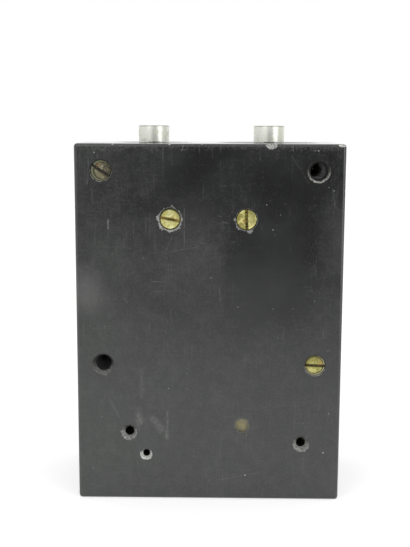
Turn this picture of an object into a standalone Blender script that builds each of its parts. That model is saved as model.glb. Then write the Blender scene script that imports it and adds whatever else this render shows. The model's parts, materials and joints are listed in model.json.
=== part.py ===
"""Blasting galvanometer: a small moving-coil meter and its own cell in a hard rubber case.

The plain back of the case faces -Y, the dial faces +Y, and the two contact posts stand on top, +Z.
The origin is at the middle of the base. All lengths are in metres.
"""
import math

import bmesh
import bpy
from mathutils import Matrix, Vector

# Fits that all the pieces share
SEAT_GAP = 0.0003
HOLE_GAP = 0.00025
GLUE_GAP = 0.00015
OVERRUN = 0.0010
MERGE = 0.000001

# How finely round pieces are divided
WINDOW_STEPS = 56
ROUND_STEPS = 28
SMALL_STEPS = 16
PIN_STEPS = 10
FILLET_STEPS = 3
SMOOTH_ANGLE = math.radians(38)

# Case walls
WALL = 0.0060
PARTITION = 0.0030
EDGE_RADIUS = 0.0011
BAY_FILLET = 0.0022
PARTING_GAP = 0.0003

# Battery cell, lying across the lower bay
CELL_RADIUS = 0.0120
CELL_LENGTH = 0.0575
CELL_CAP_RADIUS = 0.0042
CELL_CAP_HEIGHT = 0.0022
CELL_CRIMP = 0.0008
CELL_HEADROOM = 0.0107
CELL_BACK_ROOM = 0.0074
CELL_SHIFT = 0.0007
CONTACT_ROOM = 0.0043
SADDLE_INSET = 0.01675
SADDLE_THICKNESS = 0.0030
SADDLE_HEIGHT = 0.0080
SADDLE_LIP = 0.0024

# Movement, set by the axis that the coil turns on
ZERO_SCREW_RISE = 0.0053
ZERO_ARM_REACH = 0.0187
CORE_RADIUS = 0.0070
CORE_LENGTH = 0.0114
POLE_BORE_RADIUS = 0.0092
POLE_HORN_ANGLE = math.radians(57)
POLE_HALF_HEIGHT = 0.0100
MAGNET_GAP = 0.0260
MAGNET_WIDTH = 0.0100
MAGNET_THICKNESS = 0.0120
MAGNET_LEG_BELOW = 0.0110
MAGNET_BEND_RISE = 0.0140
MAGNET_EDGE = 0.0005
STRAP_HEIGHT = 0.0020
STRAP_THICKNESS = 0.0060
STRAP_STEM_WIDTH = 0.0058

# Movement base plate
BASE_THICKNESS = 0.0025
BASE_WIDTH = 0.0400
BASE_TOP_RISE = 0.0335
BASE_SHOULDER = 0.0050
BASE_HEADROOM = 0.0120
BASE_SIDE_ROOM = 0.0180
BASE_OPENING_RADIUS = 0.0097
EAR_REACH = 0.0026
EAR_HALF_HEIGHT = 0.0036

# Dial, its pillars and screws
WINDOW_RADIUS = 0.0270
DIAL_MARGIN = 0.0025
DIAL_RIM = 0.0005
DIAL_CLEARANCE = 0.0010
DIAL_THICKNESS = 0.0008
DIAL_STANDOFF = 0.0030
DIAL_OPENING_RADIUS = 0.0132
DIAL_SKIRT_WIDTH = 0.0330
DIAL_SKIRT_BELOW = 0.0020
PILLAR_RADIUS = 0.0022
PILLAR_CLEARANCE = 0.0008
PILLAR_RISE = 0.0100
PILLAR_BORE_DEPTH = 0.0050
DIAL_SCREW_RADIUS = 0.0010
DIAL_SCREW_LENGTH = 0.0042
DIAL_SCREW_HEAD_RADIUS = 0.0020
DIAL_SCREW_HEAD = 0.0010
STOP_PIN_RADIUS = 0.0005
STOP_PIN_HEIGHT = 0.0021
STOP_PIN_REACH = 0.0200

# Bridges and the jewel screws that hold the pivots
BRIDGE_RISE = 0.0098
BRIDGE_THICKNESS = 0.0016
BRIDGE_LEG = 0.0014
BRIDGE_SPAN = 0.0198
BRIDGE_FOOT = 0.0013
BRIDGE_FOOT_THICKNESS = 0.0012
BRIDGE_WIDTH = 0.0052
REAR_BRIDGE_RISE = 0.0033
REAR_BRIDGE_THICKNESS = 0.0013
REAR_ROOM = 0.0014
JEWEL_RADIUS = 0.0015
JEWEL_FLANGE = 0.0003
JEWEL_FLANGE_RADIUS = 0.0021
JEWEL_HEAD = 0.0011
JEWEL_HEAD_RADIUS = 0.0022
JEWEL_REACH = 0.0010
CUP_RADIUS = 0.0009
CUP_DEPTH = 0.0012
CRANK_CLEARANCE = 0.0011

# Needle: the coil, its arbors, the pointer and the hairsprings
REST_ANGLE = math.radians(45)
NEEDLE_OVERSWING = math.radians(2)
COIL_SIDE_GAP = 0.00045
COIL_END_GAP = 0.0006
COIL_CORNER = 0.0008
FORMER_WALL = 0.0004
FORMER_WIDTH = 0.0030
WINDING_WALL = 0.0008
WINDING_WIDTH = 0.0026
ARBOR_RADIUS = 0.0006
ARBOR_FOOT_RADIUS = 0.0013
ARBOR_FOOT = 0.0008
COLLET_RADIUS = 0.0013
COLLET_HEIGHT = 0.0012
PIVOT_LENGTH = 0.0013
PIVOT_GAP = 0.0003
POINTER_CLEARANCE = 0.0011
POINTER_THICKNESS = 0.0003
POINTER_LENGTH = 0.0334
POINTER_WIDTH = 0.0007
POINTER_HUB_RADIUS = 0.0017
SPADE_LENGTH = 0.0085
SPADE_WIDTH = 0.0018
POINTER_TIP_WIDTH = 0.0002
TAIL_LENGTH = 0.0074
TAIL_WIDTH = 0.0010
WEIGHT_RADIUS = 0.0016
WEIGHT_THICKNESS = 0.0011
POINTER_DENSITY = 2700.0
WEIGHT_DENSITY = 8500.0
SPRING_HEIGHT = 0.0010
SPRING_THICKNESS = 0.0002
SPRING_DROP = 0.0013
SPRING_OUTER_RADIUS = 0.0050
SPRING_TURNS = 3
SPRING_STEPS = 16

# Zero adjuster: the arm that holds the front hairspring, and the screw that moves it
ARM_THICKNESS = 0.0010
ARM_HUB_RADIUS = 0.0034
ARM_WIDTH = 0.0028
ARM_SHOULDER = 0.0015
FORK_WIDTH = 0.0042
FORK_GAP = 0.0003
FORK_DEPTH = 0.0034
FORK_END = 0.0021
ABUTMENT_WIDTH = 0.0012
ABUTMENT_THICKNESS = 0.0009
ZERO_HEAD_RADIUS = 0.0029
ZERO_HEAD_HEIGHT = 0.0012
ZERO_SHAFT_RADIUS = 0.0016
CRANK_RADIUS = 0.0028
CRANK_THICKNESS = 0.0012
CRANK_THROW = 0.0016
CRANK_PIN_RADIUS = 0.00055
CRANK_PIN_PAST_ARM = 0.0005
ZERO_TRAVEL = math.radians(40)

# Front panel, battery cover, window
PANEL_THICKNESS = 0.0050
BEZEL_WIDTH = 0.0042
BEZEL_FLANGE = 0.0020
BEZEL_CHAMFER = 0.0009
BEZEL_CLEARANCE = 0.0011
GLASS_THICKNESS = 0.0020
GLASS_MARGIN = 0.0025
GLASS_LEDGE = 0.0014
TONGUE_INSET = 0.0076
TONGUE_HEIGHT = 0.0022
TONGUE_THICKNESS = 0.0019
COVER_RIB_SPACING = 0.0300
COVER_RIB_THICKNESS = 0.0030
COVER_RIB_HEIGHT = 0.0080
COVER_SCREW_INSET = 0.0024
COVER_SCREW_RISE = 0.0026
COVER_BOSS_RADIUS = 0.0044
COVER_SCREW_RADIUS = 0.00135
COVER_SCREW_HEAD_RADIUS = 0.0027
COVER_SCREW_LENGTH = 0.0140

# Long case screws, movement screws and the inserts
CORNER_INSET = 0.00285
CORNER_RISE = 0.0033
CORNER_BOSS_RADIUS = 0.00475
SCREW_HEAD_RADIUS = 0.0032
SCREW_HEAD_EDGE = 0.0003
SCREW_HEAD_CONE = 0.0017
SCREW_SUNK = 0.00015
SCREW_RADIUS = 0.0017
SCREW_TIP = 0.0005
SLOT_WIDTH = 0.0009
SLOT_DEPTH = 0.0009
CASE_SCREW_GRIP = 0.0026
MOVEMENT_SCREW_SPACING = 0.0252
MOVEMENT_SCREW_SHIFT = -0.0004
MOVEMENT_SCREW_RISE = 0.0283
STANDOFF_RADIUS = 0.0040
INSERT_RADIUS = 0.0030
INSERT_LENGTH = 0.0032
SLOT_ANGLE_TOP_LEFT = math.radians(-33)
SLOT_ANGLE_LOW_RIGHT = math.radians(-3)
SLOT_ANGLE_MOVEMENT_LEFT = math.radians(-11)
SLOT_ANGLE_MOVEMENT_RIGHT = math.radians(92)
SLOT_ANGLE_COVER = math.radians(24)
SLOT_ANGLE_JEWEL = math.radians(70)
SLOT_ANGLE_DIAL = math.radians(50)

# Contact posts and what holds them
POST_SPACING = 0.0401
POST_SHIFT = 0.0003
POST_RADIUS = 0.0053
POST_HEIGHT = 0.0055
POST_CHAMFER = 0.0005
STUD_RADIUS = 0.0019
WASHER_RADIUS = 0.0048
WASHER_THICKNESS = 0.0008
LUG_THICKNESS = 0.0006
LUG_RADIUS = 0.0042
LUG_TAIL = 0.0085
LUG_TAIL_WIDTH = 0.0030
NUT_FLATS = 0.0072
NUT_HEIGHT = 0.0030
STUD_PAST_NUT = 0.0010

# Holes low on the back, for the contact hardware of the cell
HOLE_A_INSET = 0.00365
HOLE_A_HEIGHT = 0.0234
HOLE_A_RADIUS = 0.0013
HOLE_B_INSET = 0.00935
HOLE_B_HEIGHT = 0.0155
HOLE_B_RADIUS = 0.00085
HOLE_C_INSET = 0.00275
HOLE_C_HEIGHT = 0.0195
HOLE_C_RADIUS = 0.00125
TAP_SHRINK = 0.0003
CONTACT_STUD_INSET = 0.02285
CONTACT_STUD_HEIGHT = 0.0258
CONTACT_STUD_RADIUS = 0.00175
CONTACT_NUT_FLATS = 0.0055
CONTACT_NUT_HEIGHT = 0.0022
CONTACT_THICKNESS = 0.0006
CONTACT_MARGIN = 0.0030
CONTACT_REACH = 0.0235
CONTACT_BOW = 0.0016
CONTACT_BOW_SHARE = 0.85
CONTACT_STEPS = 10

# Resistor spool on the partition
SPOOL_INSET = 0.00695
SPOOL_SETBACK = 0.0110
SPOOL_RADIUS = 0.0052
SPOOL_CORE_RADIUS = 0.0026
SPOOL_FLANGE = 0.0010
SPOOL_HEIGHT = 0.0096
SPOOL_SPIGOT_RADIUS = 0.0014
SPOOL_SPIGOT = 0.0024
SPOOL_WINDING_RADIUS = 0.0046

# Internal leads
LEAD_RADIUS = 0.0007
LEAD_BEND = 0.0035
LEAD_SPACING = 0.0032
LEAD_RESOLUTION = 2
LEAD_HOLE_RADIUS = 0.0013
LEAD_HOLE_INSET = 0.0095
LEAD_HOLE_SETBACK = 0.0045

# Widths, from the cell and its contacts outwards. The wider bay sets the case
LEFT_TOUCH_X = CELL_SHIFT - CELL_LENGTH / 2 - SEAT_GAP - CONTACT_THICKNESS
RIGHT_TOUCH_X = CELL_SHIFT + CELL_LENGTH / 2 + CELL_CAP_HEIGHT + SEAT_GAP + CONTACT_THICKNESS
LEFT_LEG_X = LEFT_TOUCH_X - CONTACT_BOW
RIGHT_LEG_X = RIGHT_TOUCH_X + CONTACT_BOW
BAY_HALF = max(RIGHT_LEG_X + CONTACT_ROOM, BASE_WIDTH / 2 + BASE_SIDE_ROOM)
CASE_HALF = BAY_HALF + WALL
HOLE_A_X = LEFT_LEG_X + HOLE_A_INSET
HOLE_B_X = LEFT_LEG_X + HOLE_B_INSET
HOLE_C_X = RIGHT_LEG_X - HOLE_C_INSET
CONTACT_STUD_X = RIGHT_LEG_X - CONTACT_STUD_INSET
PILLAR_X = MAGNET_GAP / 2 + MAGNET_WIDTH + PILLAR_CLEARANCE + PILLAR_RADIUS

# Heights, from the base up. The dial or the movement, whichever is taller, sets the top
CELL_HEIGHT = WALL + SEAT_GAP + CELL_RADIUS
PARTITION_BOTTOM = CELL_HEIGHT + CELL_RADIUS + CELL_HEADROOM
PARTITION_TOP = PARTITION_BOTTOM + PARTITION
PARTING_HEIGHT = (PARTITION_BOTTOM + PARTITION_TOP) / 2
ZERO_SCREW_HEIGHT = PARTITION_TOP + ZERO_SCREW_RISE
COIL_HEIGHT = ZERO_SCREW_HEIGHT + ZERO_ARM_REACH
PILLAR_HEIGHT = COIL_HEIGHT + PILLAR_RISE
WINDOW_HEIGHT = ZERO_SCREW_HEIGHT + ZERO_HEAD_RADIUS + BEZEL_CLEARANCE + BEZEL_WIDTH + WINDOW_RADIUS
DIAL_SCREW_REACH = math.hypot(PILLAR_X, WINDOW_HEIGHT - PILLAR_HEIGHT) + DIAL_SCREW_HEAD_RADIUS
DIAL_RADIUS = max(WINDOW_RADIUS + DIAL_MARGIN, DIAL_SCREW_REACH + DIAL_RIM)
TOP_INSIDE = max(WINDOW_HEIGHT + DIAL_RADIUS + DIAL_CLEARANCE, COIL_HEIGHT + BASE_TOP_RISE + BASE_HEADROOM)
CASE_HEIGHT = TOP_INSIDE + WALL

# Depths, from the back face forward
REAR_DEPTH = REAR_BRIDGE_RISE + REAR_BRIDGE_THICKNESS + SEAT_GAP + JEWEL_HEAD + REAR_ROOM
FRONT_DEPTH = (BRIDGE_RISE + BRIDGE_THICKNESS + SEAT_GAP + JEWEL_HEAD + CRANK_CLEARANCE
               + CRANK_THICKNESS + SEAT_GAP)
TUB_DEPTH = WALL + REAR_DEPTH + BASE_THICKNESS + SEAT_GAP + MAGNET_THICKNESS + FRONT_DEPTH - SEAT_GAP
CASE_DEPTH = TUB_DEPTH + SEAT_GAP + PANEL_THICKNESS + SEAT_GAP + BEZEL_FLANGE
BACK = -CASE_DEPTH / 2
BACK_INSIDE = BACK + WALL
RIM = BACK + TUB_DEPTH
PANEL_BACK = RIM + SEAT_GAP
PANEL_FRONT = PANEL_BACK + PANEL_THICKNESS
CASE_MIDDLE = (BACK + PANEL_FRONT) / 2
BASE_BACK = BACK_INSIDE + REAR_DEPTH
BASE_FRONT = BASE_BACK + BASE_THICKNESS
MAGNET_BACK = BASE_FRONT + SEAT_GAP
MAGNET_FRONT = MAGNET_BACK + MAGNET_THICKNESS
CORE_MIDDLE = (MAGNET_BACK + MAGNET_FRONT) / 2
DIAL_BACK = MAGNET_FRONT + DIAL_STANDOFF
DIAL_FRONT = DIAL_BACK + DIAL_THICKNESS
POINTER_BACK = DIAL_FRONT + POINTER_CLEARANCE
BRIDGE_BACK = MAGNET_FRONT + BRIDGE_RISE
BRIDGE_FRONT = BRIDGE_BACK + BRIDGE_THICKNESS
REAR_BRIDGE_FRONT = BASE_BACK - REAR_BRIDGE_RISE
REAR_BRIDGE_BACK = REAR_BRIDGE_FRONT - REAR_BRIDGE_THICKNESS
ARM_FRONT = BRIDGE_BACK - SEAT_GAP
ARM_BACK = ARM_FRONT - ARM_THICKNESS
CELL_DEPTH = BACK_INSIDE + CELL_BACK_ROOM + CELL_RADIUS
STANDOFF_TOP = BASE_BACK - SEAT_GAP

WASHER_TOP = TOP_INSIDE - SEAT_GAP
LUG_TOP = WASHER_TOP - WASHER_THICKNESS - SEAT_GAP
LUG_BOTTOM = LUG_TOP - LUG_THICKNESS
NUT_TOP = LUG_BOTTOM - SEAT_GAP
NUT_BOTTOM = NUT_TOP - NUT_HEIGHT
BASE_MIDDLE = BASE_BACK + BASE_THICKNESS / 2

# Places across the case
CORNER_X = BAY_HALF - CORNER_INSET
CORNER_TOP = TOP_INSIDE - CORNER_INSET
CORNER_LOW = PARTITION_TOP + CORNER_RISE
COVER_SCREW_X = BAY_HALF - COVER_SCREW_INSET
COVER_SCREW_HEIGHT = WALL + COVER_SCREW_RISE
POST_LEFT_X = POST_SHIFT - POST_SPACING / 2
POST_RIGHT_X = POST_SHIFT + POST_SPACING / 2
MOVEMENT_SCREW_LEFT_X = MOVEMENT_SCREW_SHIFT - MOVEMENT_SCREW_SPACING / 2
MOVEMENT_SCREW_RIGHT_X = MOVEMENT_SCREW_SHIFT + MOVEMENT_SCREW_SPACING / 2
MOVEMENT_SCREW_HEIGHT = COIL_HEIGHT + MOVEMENT_SCREW_RISE
LEAD_HOLE_X = BAY_HALF - LEAD_HOLE_INSET
TONGUE_HALF = CORNER_X - TONGUE_INSET
SPOOL_X = SPOOL_INSET - LEAD_HOLE_X
SPOOL_DEPTH = BACK_INSIDE + SPOOL_SETBACK

AXES = {"X": Vector((1, 0, 0)), "Y": Vector((0, 1, 0)), "Z": Vector((0, 0, 1))}

FINISHES = {
    "hard_rubber": ((0.062, 0.064, 0.063), 0.42, 0.0),
    "bright_brass": ((0.56, 0.50, 0.20), 0.32, 1.0),
    "dull_brass": ((0.22, 0.20, 0.12), 0.50, 1.0),
    "nickel": ((0.66, 0.67, 0.62), 0.25, 1.0),
    "steel": ((0.42, 0.43, 0.44), 0.38, 1.0),
    "magnet_steel": ((0.10, 0.10, 0.11), 0.48, 1.0),
    "aluminium": ((0.72, 0.73, 0.74), 0.35, 1.0),
    "copper_wire": ((0.52, 0.22, 0.10), 0.40, 1.0),
    "spring_bronze": ((0.50, 0.33, 0.16), 0.35, 1.0),
    "dial_card": ((0.78, 0.75, 0.66), 0.60, 0.0),
    "pointer_black": ((0.02, 0.02, 0.02), 0.45, 0.0),
    "glass": ((0.92, 0.95, 0.95), 0.04, 0.0),
    "cell_card": ((0.36, 0.28, 0.18), 0.70, 0.0),
    "red_fibre": ((0.30, 0.07, 0.04), 0.60, 0.0),
    "lead_cover": ((0.14, 0.10, 0.05), 0.75, 0.0),
}


# Helpers for materials and objects

def clear_scene():
    for old in list(bpy.data.objects):
        bpy.data.objects.remove(old, do_unlink=True)


def finish_material(name):
    material = bpy.data.materials.get(name)
    if material is None:
        color, roughness, metallic = FINISHES[name]
        material = bpy.data.materials.new(name)
        material.use_nodes = True
        shader = material.node_tree.nodes["Principled BSDF"]
        shader.inputs["Base Color"].default_value = (*color, 1.0)
        shader.inputs["Roughness"].default_value = roughness
        shader.inputs["Metallic"].default_value = metallic
        if name == "glass":
            shader.inputs["Transmission Weight"].default_value = 1.0
    return material


def shade_round(mesh):
    """Smooth shading, with sharp edges where the surface turns a corner."""
    mesh.shade_smooth()
    mesh.set_sharp_from_angle(angle=SMOOTH_ANGLE)


def link_mesh(name, shape, parent=None):
    bmesh.ops.remove_doubles(shape, verts=shape.verts, dist=MERGE)
    bmesh.ops.recalc_face_normals(shape, faces=shape.faces)
    mesh = bpy.data.meshes.new(name)
    shape.to_mesh(mesh)
    shape.free()
    shade_round(mesh)
    piece = bpy.data.objects.new(name, mesh)
    bpy.context.collection.objects.link(piece)
    piece.parent = parent
    return piece


def add_piece(name, shape, finish, parent=None):
    piece = link_mesh(name, shape, parent)
    piece.data.materials.append(finish_material(finish))
    return piece


def boolean(piece, shape, operation):
    """Cut the shape from the piece, or join it on, with a tool object that is then taken away."""
    tool = link_mesh(f"{piece.name}_tool", shape, piece.parent)
    modifier = piece.modifiers.new(operation.title(), "BOOLEAN")
    modifier.operation = operation
    modifier.object = tool
    modifier.solver = "EXACT"
    bpy.context.view_layer.update()
    finished = bpy.data.meshes.new_from_object(piece.evaluated_get(bpy.context.evaluated_depsgraph_get()))
    piece.modifiers.clear()
    piece.data = finished
    shade_round(finished)
    bpy.data.objects.remove(tool, do_unlink=True)


def cut(piece, shape):
    boolean(piece, shape, "DIFFERENCE")


def join(piece, shape):
    boolean(piece, shape, "UNION")


def axis_at(name, place, angle=0.0):
    """An empty on a joint's axis, which carries all that turns there."""
    axis = bpy.data.objects.new(name, None)
    bpy.context.collection.objects.link(axis)
    axis.location = place
    axis.rotation_euler = (0.0, angle, 0.0)
    return axis


# Helpers for shapes

def turned(shape, profile, centre, axis, steps, closed=False):
    """Spin a profile of (radius, distance along the axis) points about the axis through centre."""
    along = AXES[axis]
    out = Vector((1, 0, 0)) if axis != "X" else Vector((0, 1, 0))
    centre = Vector(centre)
    points = [shape.verts.new(centre + out * radius + along * distance) for radius, distance in profile]
    edges = [shape.edges.new(pair) for pair in zip(points, points[1:])]
    if closed:
        edges.append(shape.edges.new((points[-1], points[0])))
    bmesh.ops.spin(shape, geom=points + edges, cent=centre, axis=along, angle=2 * math.pi,
                   steps=steps, use_merge=True)
    bmesh.ops.remove_doubles(shape, verts=shape.verts, dist=MERGE)


def rod(shape, radius, centre, axis, length, steps=SMALL_STEPS):
    turned(shape, [(0, 0), (radius, 0), (radius, length), (0, length)], centre, axis, steps)


def spread(outline, axis, level):
    """Put an outline of two coordinates on the plane across the axis at a level."""
    if axis == "X":
        return [Vector((level, first, second)) for first, second in outline]
    if axis == "Y":
        return [Vector((first, level, second)) for first, second in outline]
    return [Vector((first, second, level)) for first, second in outline]


def prism(shape, outline, axis, start, length):
    """Extrude an outline, given across the axis, from start by length."""
    corners = [shape.verts.new(point) for point in spread(outline, axis, start)]
    face = shape.faces.new(corners)
    grown = bmesh.ops.extrude_face_region(shape, geom=[face])
    moved = [item for item in grown["geom"] if isinstance(item, bmesh.types.BMVert)]
    bmesh.ops.translate(shape, verts=moved, vec=AXES[axis] * length)


def ring_prism(shape, outer, inner, axis, start, length):
    """Extrude the band between two outlines that have as many points as each other."""
    loops = []
    for outline, level in ((outer, start), (outer, start + length), (inner, start + length), (inner, start)):
        loops.append([shape.verts.new(point) for point in spread(outline, axis, level)])
    for first, second in zip(loops, loops[1:] + loops[:1]):
        for index in range(len(first)):
            after = (index + 1) % len(first)
            shape.faces.new((first[index], first[after], second[after], second[index]))


def box(shape, low, high):
    size = [top - bottom for bottom, top in zip(low, high)]
    middle = [(top + bottom) / 2 for bottom, top in zip(low, high)]
    matrix = Matrix.Translation(middle) @ Matrix.Diagonal((*size, 1.0))
    return bmesh.ops.create_cube(shape, size=1.0, matrix=matrix)["verts"]


def rounded_box(shape, low, high, radius, sharp):
    """A box with rounded edges, apart from the edges of the sides named in sharp, such as +Y."""
    corners = box(shape, low, high)
    flat = [("XYZ".index(side[1]), high if side[0] == "+" else low) for side in sharp]
    edges = []
    for edge in {edge for corner in corners for edge in corner.link_edges}:
        on_sharp_side = any(abs(vert.co[place] - limit[place]) < MERGE and
                            abs(edge.other_vert(vert).co[place] - limit[place]) < MERGE
                            for place, limit in flat for vert in edge.verts)
        if not on_sharp_side:
            edges.append(edge)
    bmesh.ops.bevel(shape, geom=edges, offset=radius, segments=FILLET_STEPS, profile=0.5, affect="EDGES")


def arc(centre, radius, start, end, steps):
    return [(centre[0] + radius * math.cos(start + (end - start) * step / steps),
             centre[1] + radius * math.sin(start + (end - start) * step / steps))
            for step in range(steps + 1)]


def circle(centre, radius, steps):
    return arc(centre, radius, 0, 2 * math.pi, steps)[:-1]


def rounded_rectangle(half_width, half_height, radius, centre=(0, 0)):
    outline = []
    for quarter, (side, rise) in enumerate(((1, 1), (-1, 1), (-1, -1), (1, -1))):
        corner = (centre[0] + side * (half_width - radius), centre[1] + rise * (half_height - radius))
        outline += arc(corner, radius, quarter * math.pi / 2, (quarter + 1) * math.pi / 2, FILLET_STEPS)
    return outline


def hexagon(centre, across_flats, steps_per_side):
    """A hexagon with evenly spaced points on each side, to pair with a round bore."""
    radius = across_flats / 2 / math.cos(math.pi / 6)
    corners = circle(centre, radius, 6)
    outline = []
    for first, second in zip(corners, corners[1:] + corners[:1]):
        for step in range(steps_per_side):
            share = step / steps_per_side
            outline.append((first[0] + (second[0] - first[0]) * share,
                            first[1] + (second[1] - first[1]) * share))
    return outline


def mirrored(half_outline):
    """Close an outline with its own mirror image in the first coordinate."""
    return half_outline + [(-first, second) for first, second in reversed(half_outline)]


# Fasteners

def slot_cutter(place, angle, reach, width, depth, front):
    """A box across a head that lies at place, with its open side towards -Y, or +Y if front."""
    shape = bmesh.new()
    deep = -depth if front else depth
    over = OVERRUN if front else -OVERRUN
    low = (-reach, min(deep, over), -width / 2)
    high = (reach, max(deep, over), width / 2)
    corners = box(shape, low, high)
    bmesh.ops.rotate(shape, verts=corners, cent=(0, 0, 0), matrix=Matrix.Rotation(-angle, 3, "Y"))
    bmesh.ops.translate(shape, verts=corners, vec=place)
    return shape


def flat_head_profile(head_radius, radius, length):
    cone = SCREW_HEAD_CONE * (head_radius - radius) / (SCREW_HEAD_RADIUS - SCREW_RADIUS)
    return [(0, 0), (head_radius, 0), (head_radius, SCREW_HEAD_EDGE), (radius, SCREW_HEAD_EDGE + cone),
            (radius, length - SCREW_TIP), (radius - SCREW_TIP, length), (0, length)]


def flat_head_screw(name, x, height, face, length, angle, finish, front=False,
                    head_radius=SCREW_HEAD_RADIUS, radius=SCREW_RADIUS):
    """A countersunk slotted screw, sunk a little below the face that it enters."""
    into = -1 if front else 1
    place = (x, face + into * SCREW_SUNK, height)
    profile = [(around, into * along) for around, along in flat_head_profile(head_radius, radius, length)]
    shape = bmesh.new()
    turned(shape, profile, place, "Y", SMALL_STEPS)
    screw = add_piece(name, shape, finish)
    cut(screw, slot_cutter(place, angle, head_radius + OVERRUN, SLOT_WIDTH, SLOT_DEPTH, front))
    return screw


def flat_head_hole(shape, x, height, face, length, front=False, head_radius=SCREW_HEAD_RADIUS,
                   radius=SCREW_RADIUS):
    """The countersunk hole that clears such a screw, as a cutter."""
    into = -1 if front else 1
    cone = SCREW_HEAD_CONE * (head_radius - radius) / (SCREW_HEAD_RADIUS - SCREW_RADIUS)
    edge = SCREW_SUNK + SCREW_HEAD_EDGE
    profile = [(0, -OVERRUN), (head_radius + HOLE_GAP, -OVERRUN), (head_radius + HOLE_GAP, edge),
               (radius + HOLE_GAP, edge + cone), (radius + HOLE_GAP, length), (0, length)]
    turned(shape, [(around, into * along) for around, along in profile], (x, face, height), "Y", SMALL_STEPS)


def hex_nut(name, centre, axis, start, across_flats, height, bore, finish):
    per_side = 3
    shape = bmesh.new()
    outer = hexagon(centre, across_flats, per_side)
    inner = circle(centre, bore, 6 * per_side)
    ring_prism(shape, outer, inner, axis, start, height)
    return add_piece(name, shape, finish)


# Case, panel and cover

def corner_places():
    return [(-CORNER_X, CORNER_TOP), (CORNER_X, CORNER_TOP), (-CORNER_X, CORNER_LOW), (CORNER_X, CORNER_LOW)]


def cover_screw_places():
    return [(-COVER_SCREW_X, COVER_SCREW_HEIGHT), (COVER_SCREW_X, COVER_SCREW_HEIGHT)]


def case_bays():
    shape = bmesh.new()
    open_front = RIM + OVERRUN
    rounded_box(shape, (-BAY_HALF, BACK_INSIDE, WALL), (BAY_HALF, open_front, PARTITION_BOTTOM),
                BAY_FILLET, ("+Y",))
    rounded_box(shape, (-BAY_HALF, BACK_INSIDE, PARTITION_TOP), (BAY_HALF, open_front, TOP_INSIDE),
                BAY_FILLET, ("+Y",))
    return shape


def case_bosses():
    """The columns, standoffs and cell saddles that are moulded inside the case."""
    shape = bmesh.new()
    root = BACK_INSIDE - WALL / 2
    boss_top = RIM - SEAT_GAP
    for x, height in corner_places():
        rod(shape, CORNER_BOSS_RADIUS, (x, root, height), "Y", boss_top - root)
    for x, height in cover_screw_places():
        rod(shape, COVER_BOSS_RADIUS, (x, root, height), "Y", boss_top - root)
    for x in (MOVEMENT_SCREW_LEFT_X, MOVEMENT_SCREW_RIGHT_X):
        rod(shape, STANDOFF_RADIUS, (x, root, MOVEMENT_SCREW_HEIGHT), "Y", STANDOFF_TOP - root)
    seat_radius = CELL_RADIUS + SEAT_GAP
    saddle_top = WALL + SADDLE_HEIGHT
    drop = saddle_top - CELL_HEIGHT
    seat_angle = math.asin(drop / seat_radius)
    seat = arc((CELL_DEPTH, CELL_HEIGHT), seat_radius, -seat_angle - math.pi, seat_angle, SMALL_STEPS)
    seat_front = CELL_DEPTH + seat_radius * math.cos(seat_angle) + SADDLE_LIP
    outline = [(seat_front, saddle_top), (seat_front, WALL / 2), (root, WALL / 2), (root, saddle_top)] + seat
    for side in (-1, 1):
        middle = side * (CELL_LENGTH / 2 - SADDLE_INSET)
        prism(shape, outline, "X", middle - SADDLE_THICKNESS / 2, SADDLE_THICKNESS)
    return shape


def case_holes():
    shape = bmesh.new()
    for x, height in corner_places():
        flat_head_hole(shape, x, height, BACK, TUB_DEPTH + OVERRUN)
    for x in (MOVEMENT_SCREW_LEFT_X, MOVEMENT_SCREW_RIGHT_X):
        flat_head_hole(shape, x, MOVEMENT_SCREW_HEIGHT, BACK, STANDOFF_TOP + OVERRUN - BACK)
    through = WALL + 2 * OVERRUN
    for x, height, radius in ((HOLE_A_X, HOLE_A_HEIGHT, HOLE_A_RADIUS),
                              (HOLE_B_X, HOLE_B_HEIGHT, HOLE_B_RADIUS),
                              (HOLE_C_X, HOLE_C_HEIGHT, HOLE_C_RADIUS),
                              (CONTACT_STUD_X, CONTACT_STUD_HEIGHT, CONTACT_STUD_RADIUS + GLUE_GAP)):
        rod(shape, radius, (x, BACK - OVERRUN, height), "Y", through)
    for x, height in cover_screw_places():
        depth = COVER_SCREW_LENGTH + OVERRUN
        rod(shape, COVER_SCREW_RADIUS + HOLE_GAP, (x, RIM + OVERRUN - depth, height), "Y", depth)
    for x in (POST_LEFT_X, POST_RIGHT_X):
        rod(shape, STUD_RADIUS + HOLE_GAP, (x, CASE_MIDDLE, TOP_INSIDE - OVERRUN), "Z", through)
    below = PARTITION_BOTTOM - OVERRUN
    drop = PARTITION + 2 * OVERRUN
    rod(shape, SPOOL_SPIGOT_RADIUS + HOLE_GAP, (SPOOL_X, SPOOL_DEPTH, below), "Z", drop)
    for x, y in lead_hole_places():
        rod(shape, LEAD_HOLE_RADIUS, (x, y, below), "Z", drop)
    return shape


def make_case():
    shape = bmesh.new()
    rounded_box(shape, (-CASE_HALF, BACK, 0), (CASE_HALF, RIM, CASE_HEIGHT), EDGE_RADIUS, ("+Y",))
    body = add_piece("case_body", shape, "hard_rubber")
    cut(body, case_bays())
    join(body, case_bosses())
    cut(body, case_holes())


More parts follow.
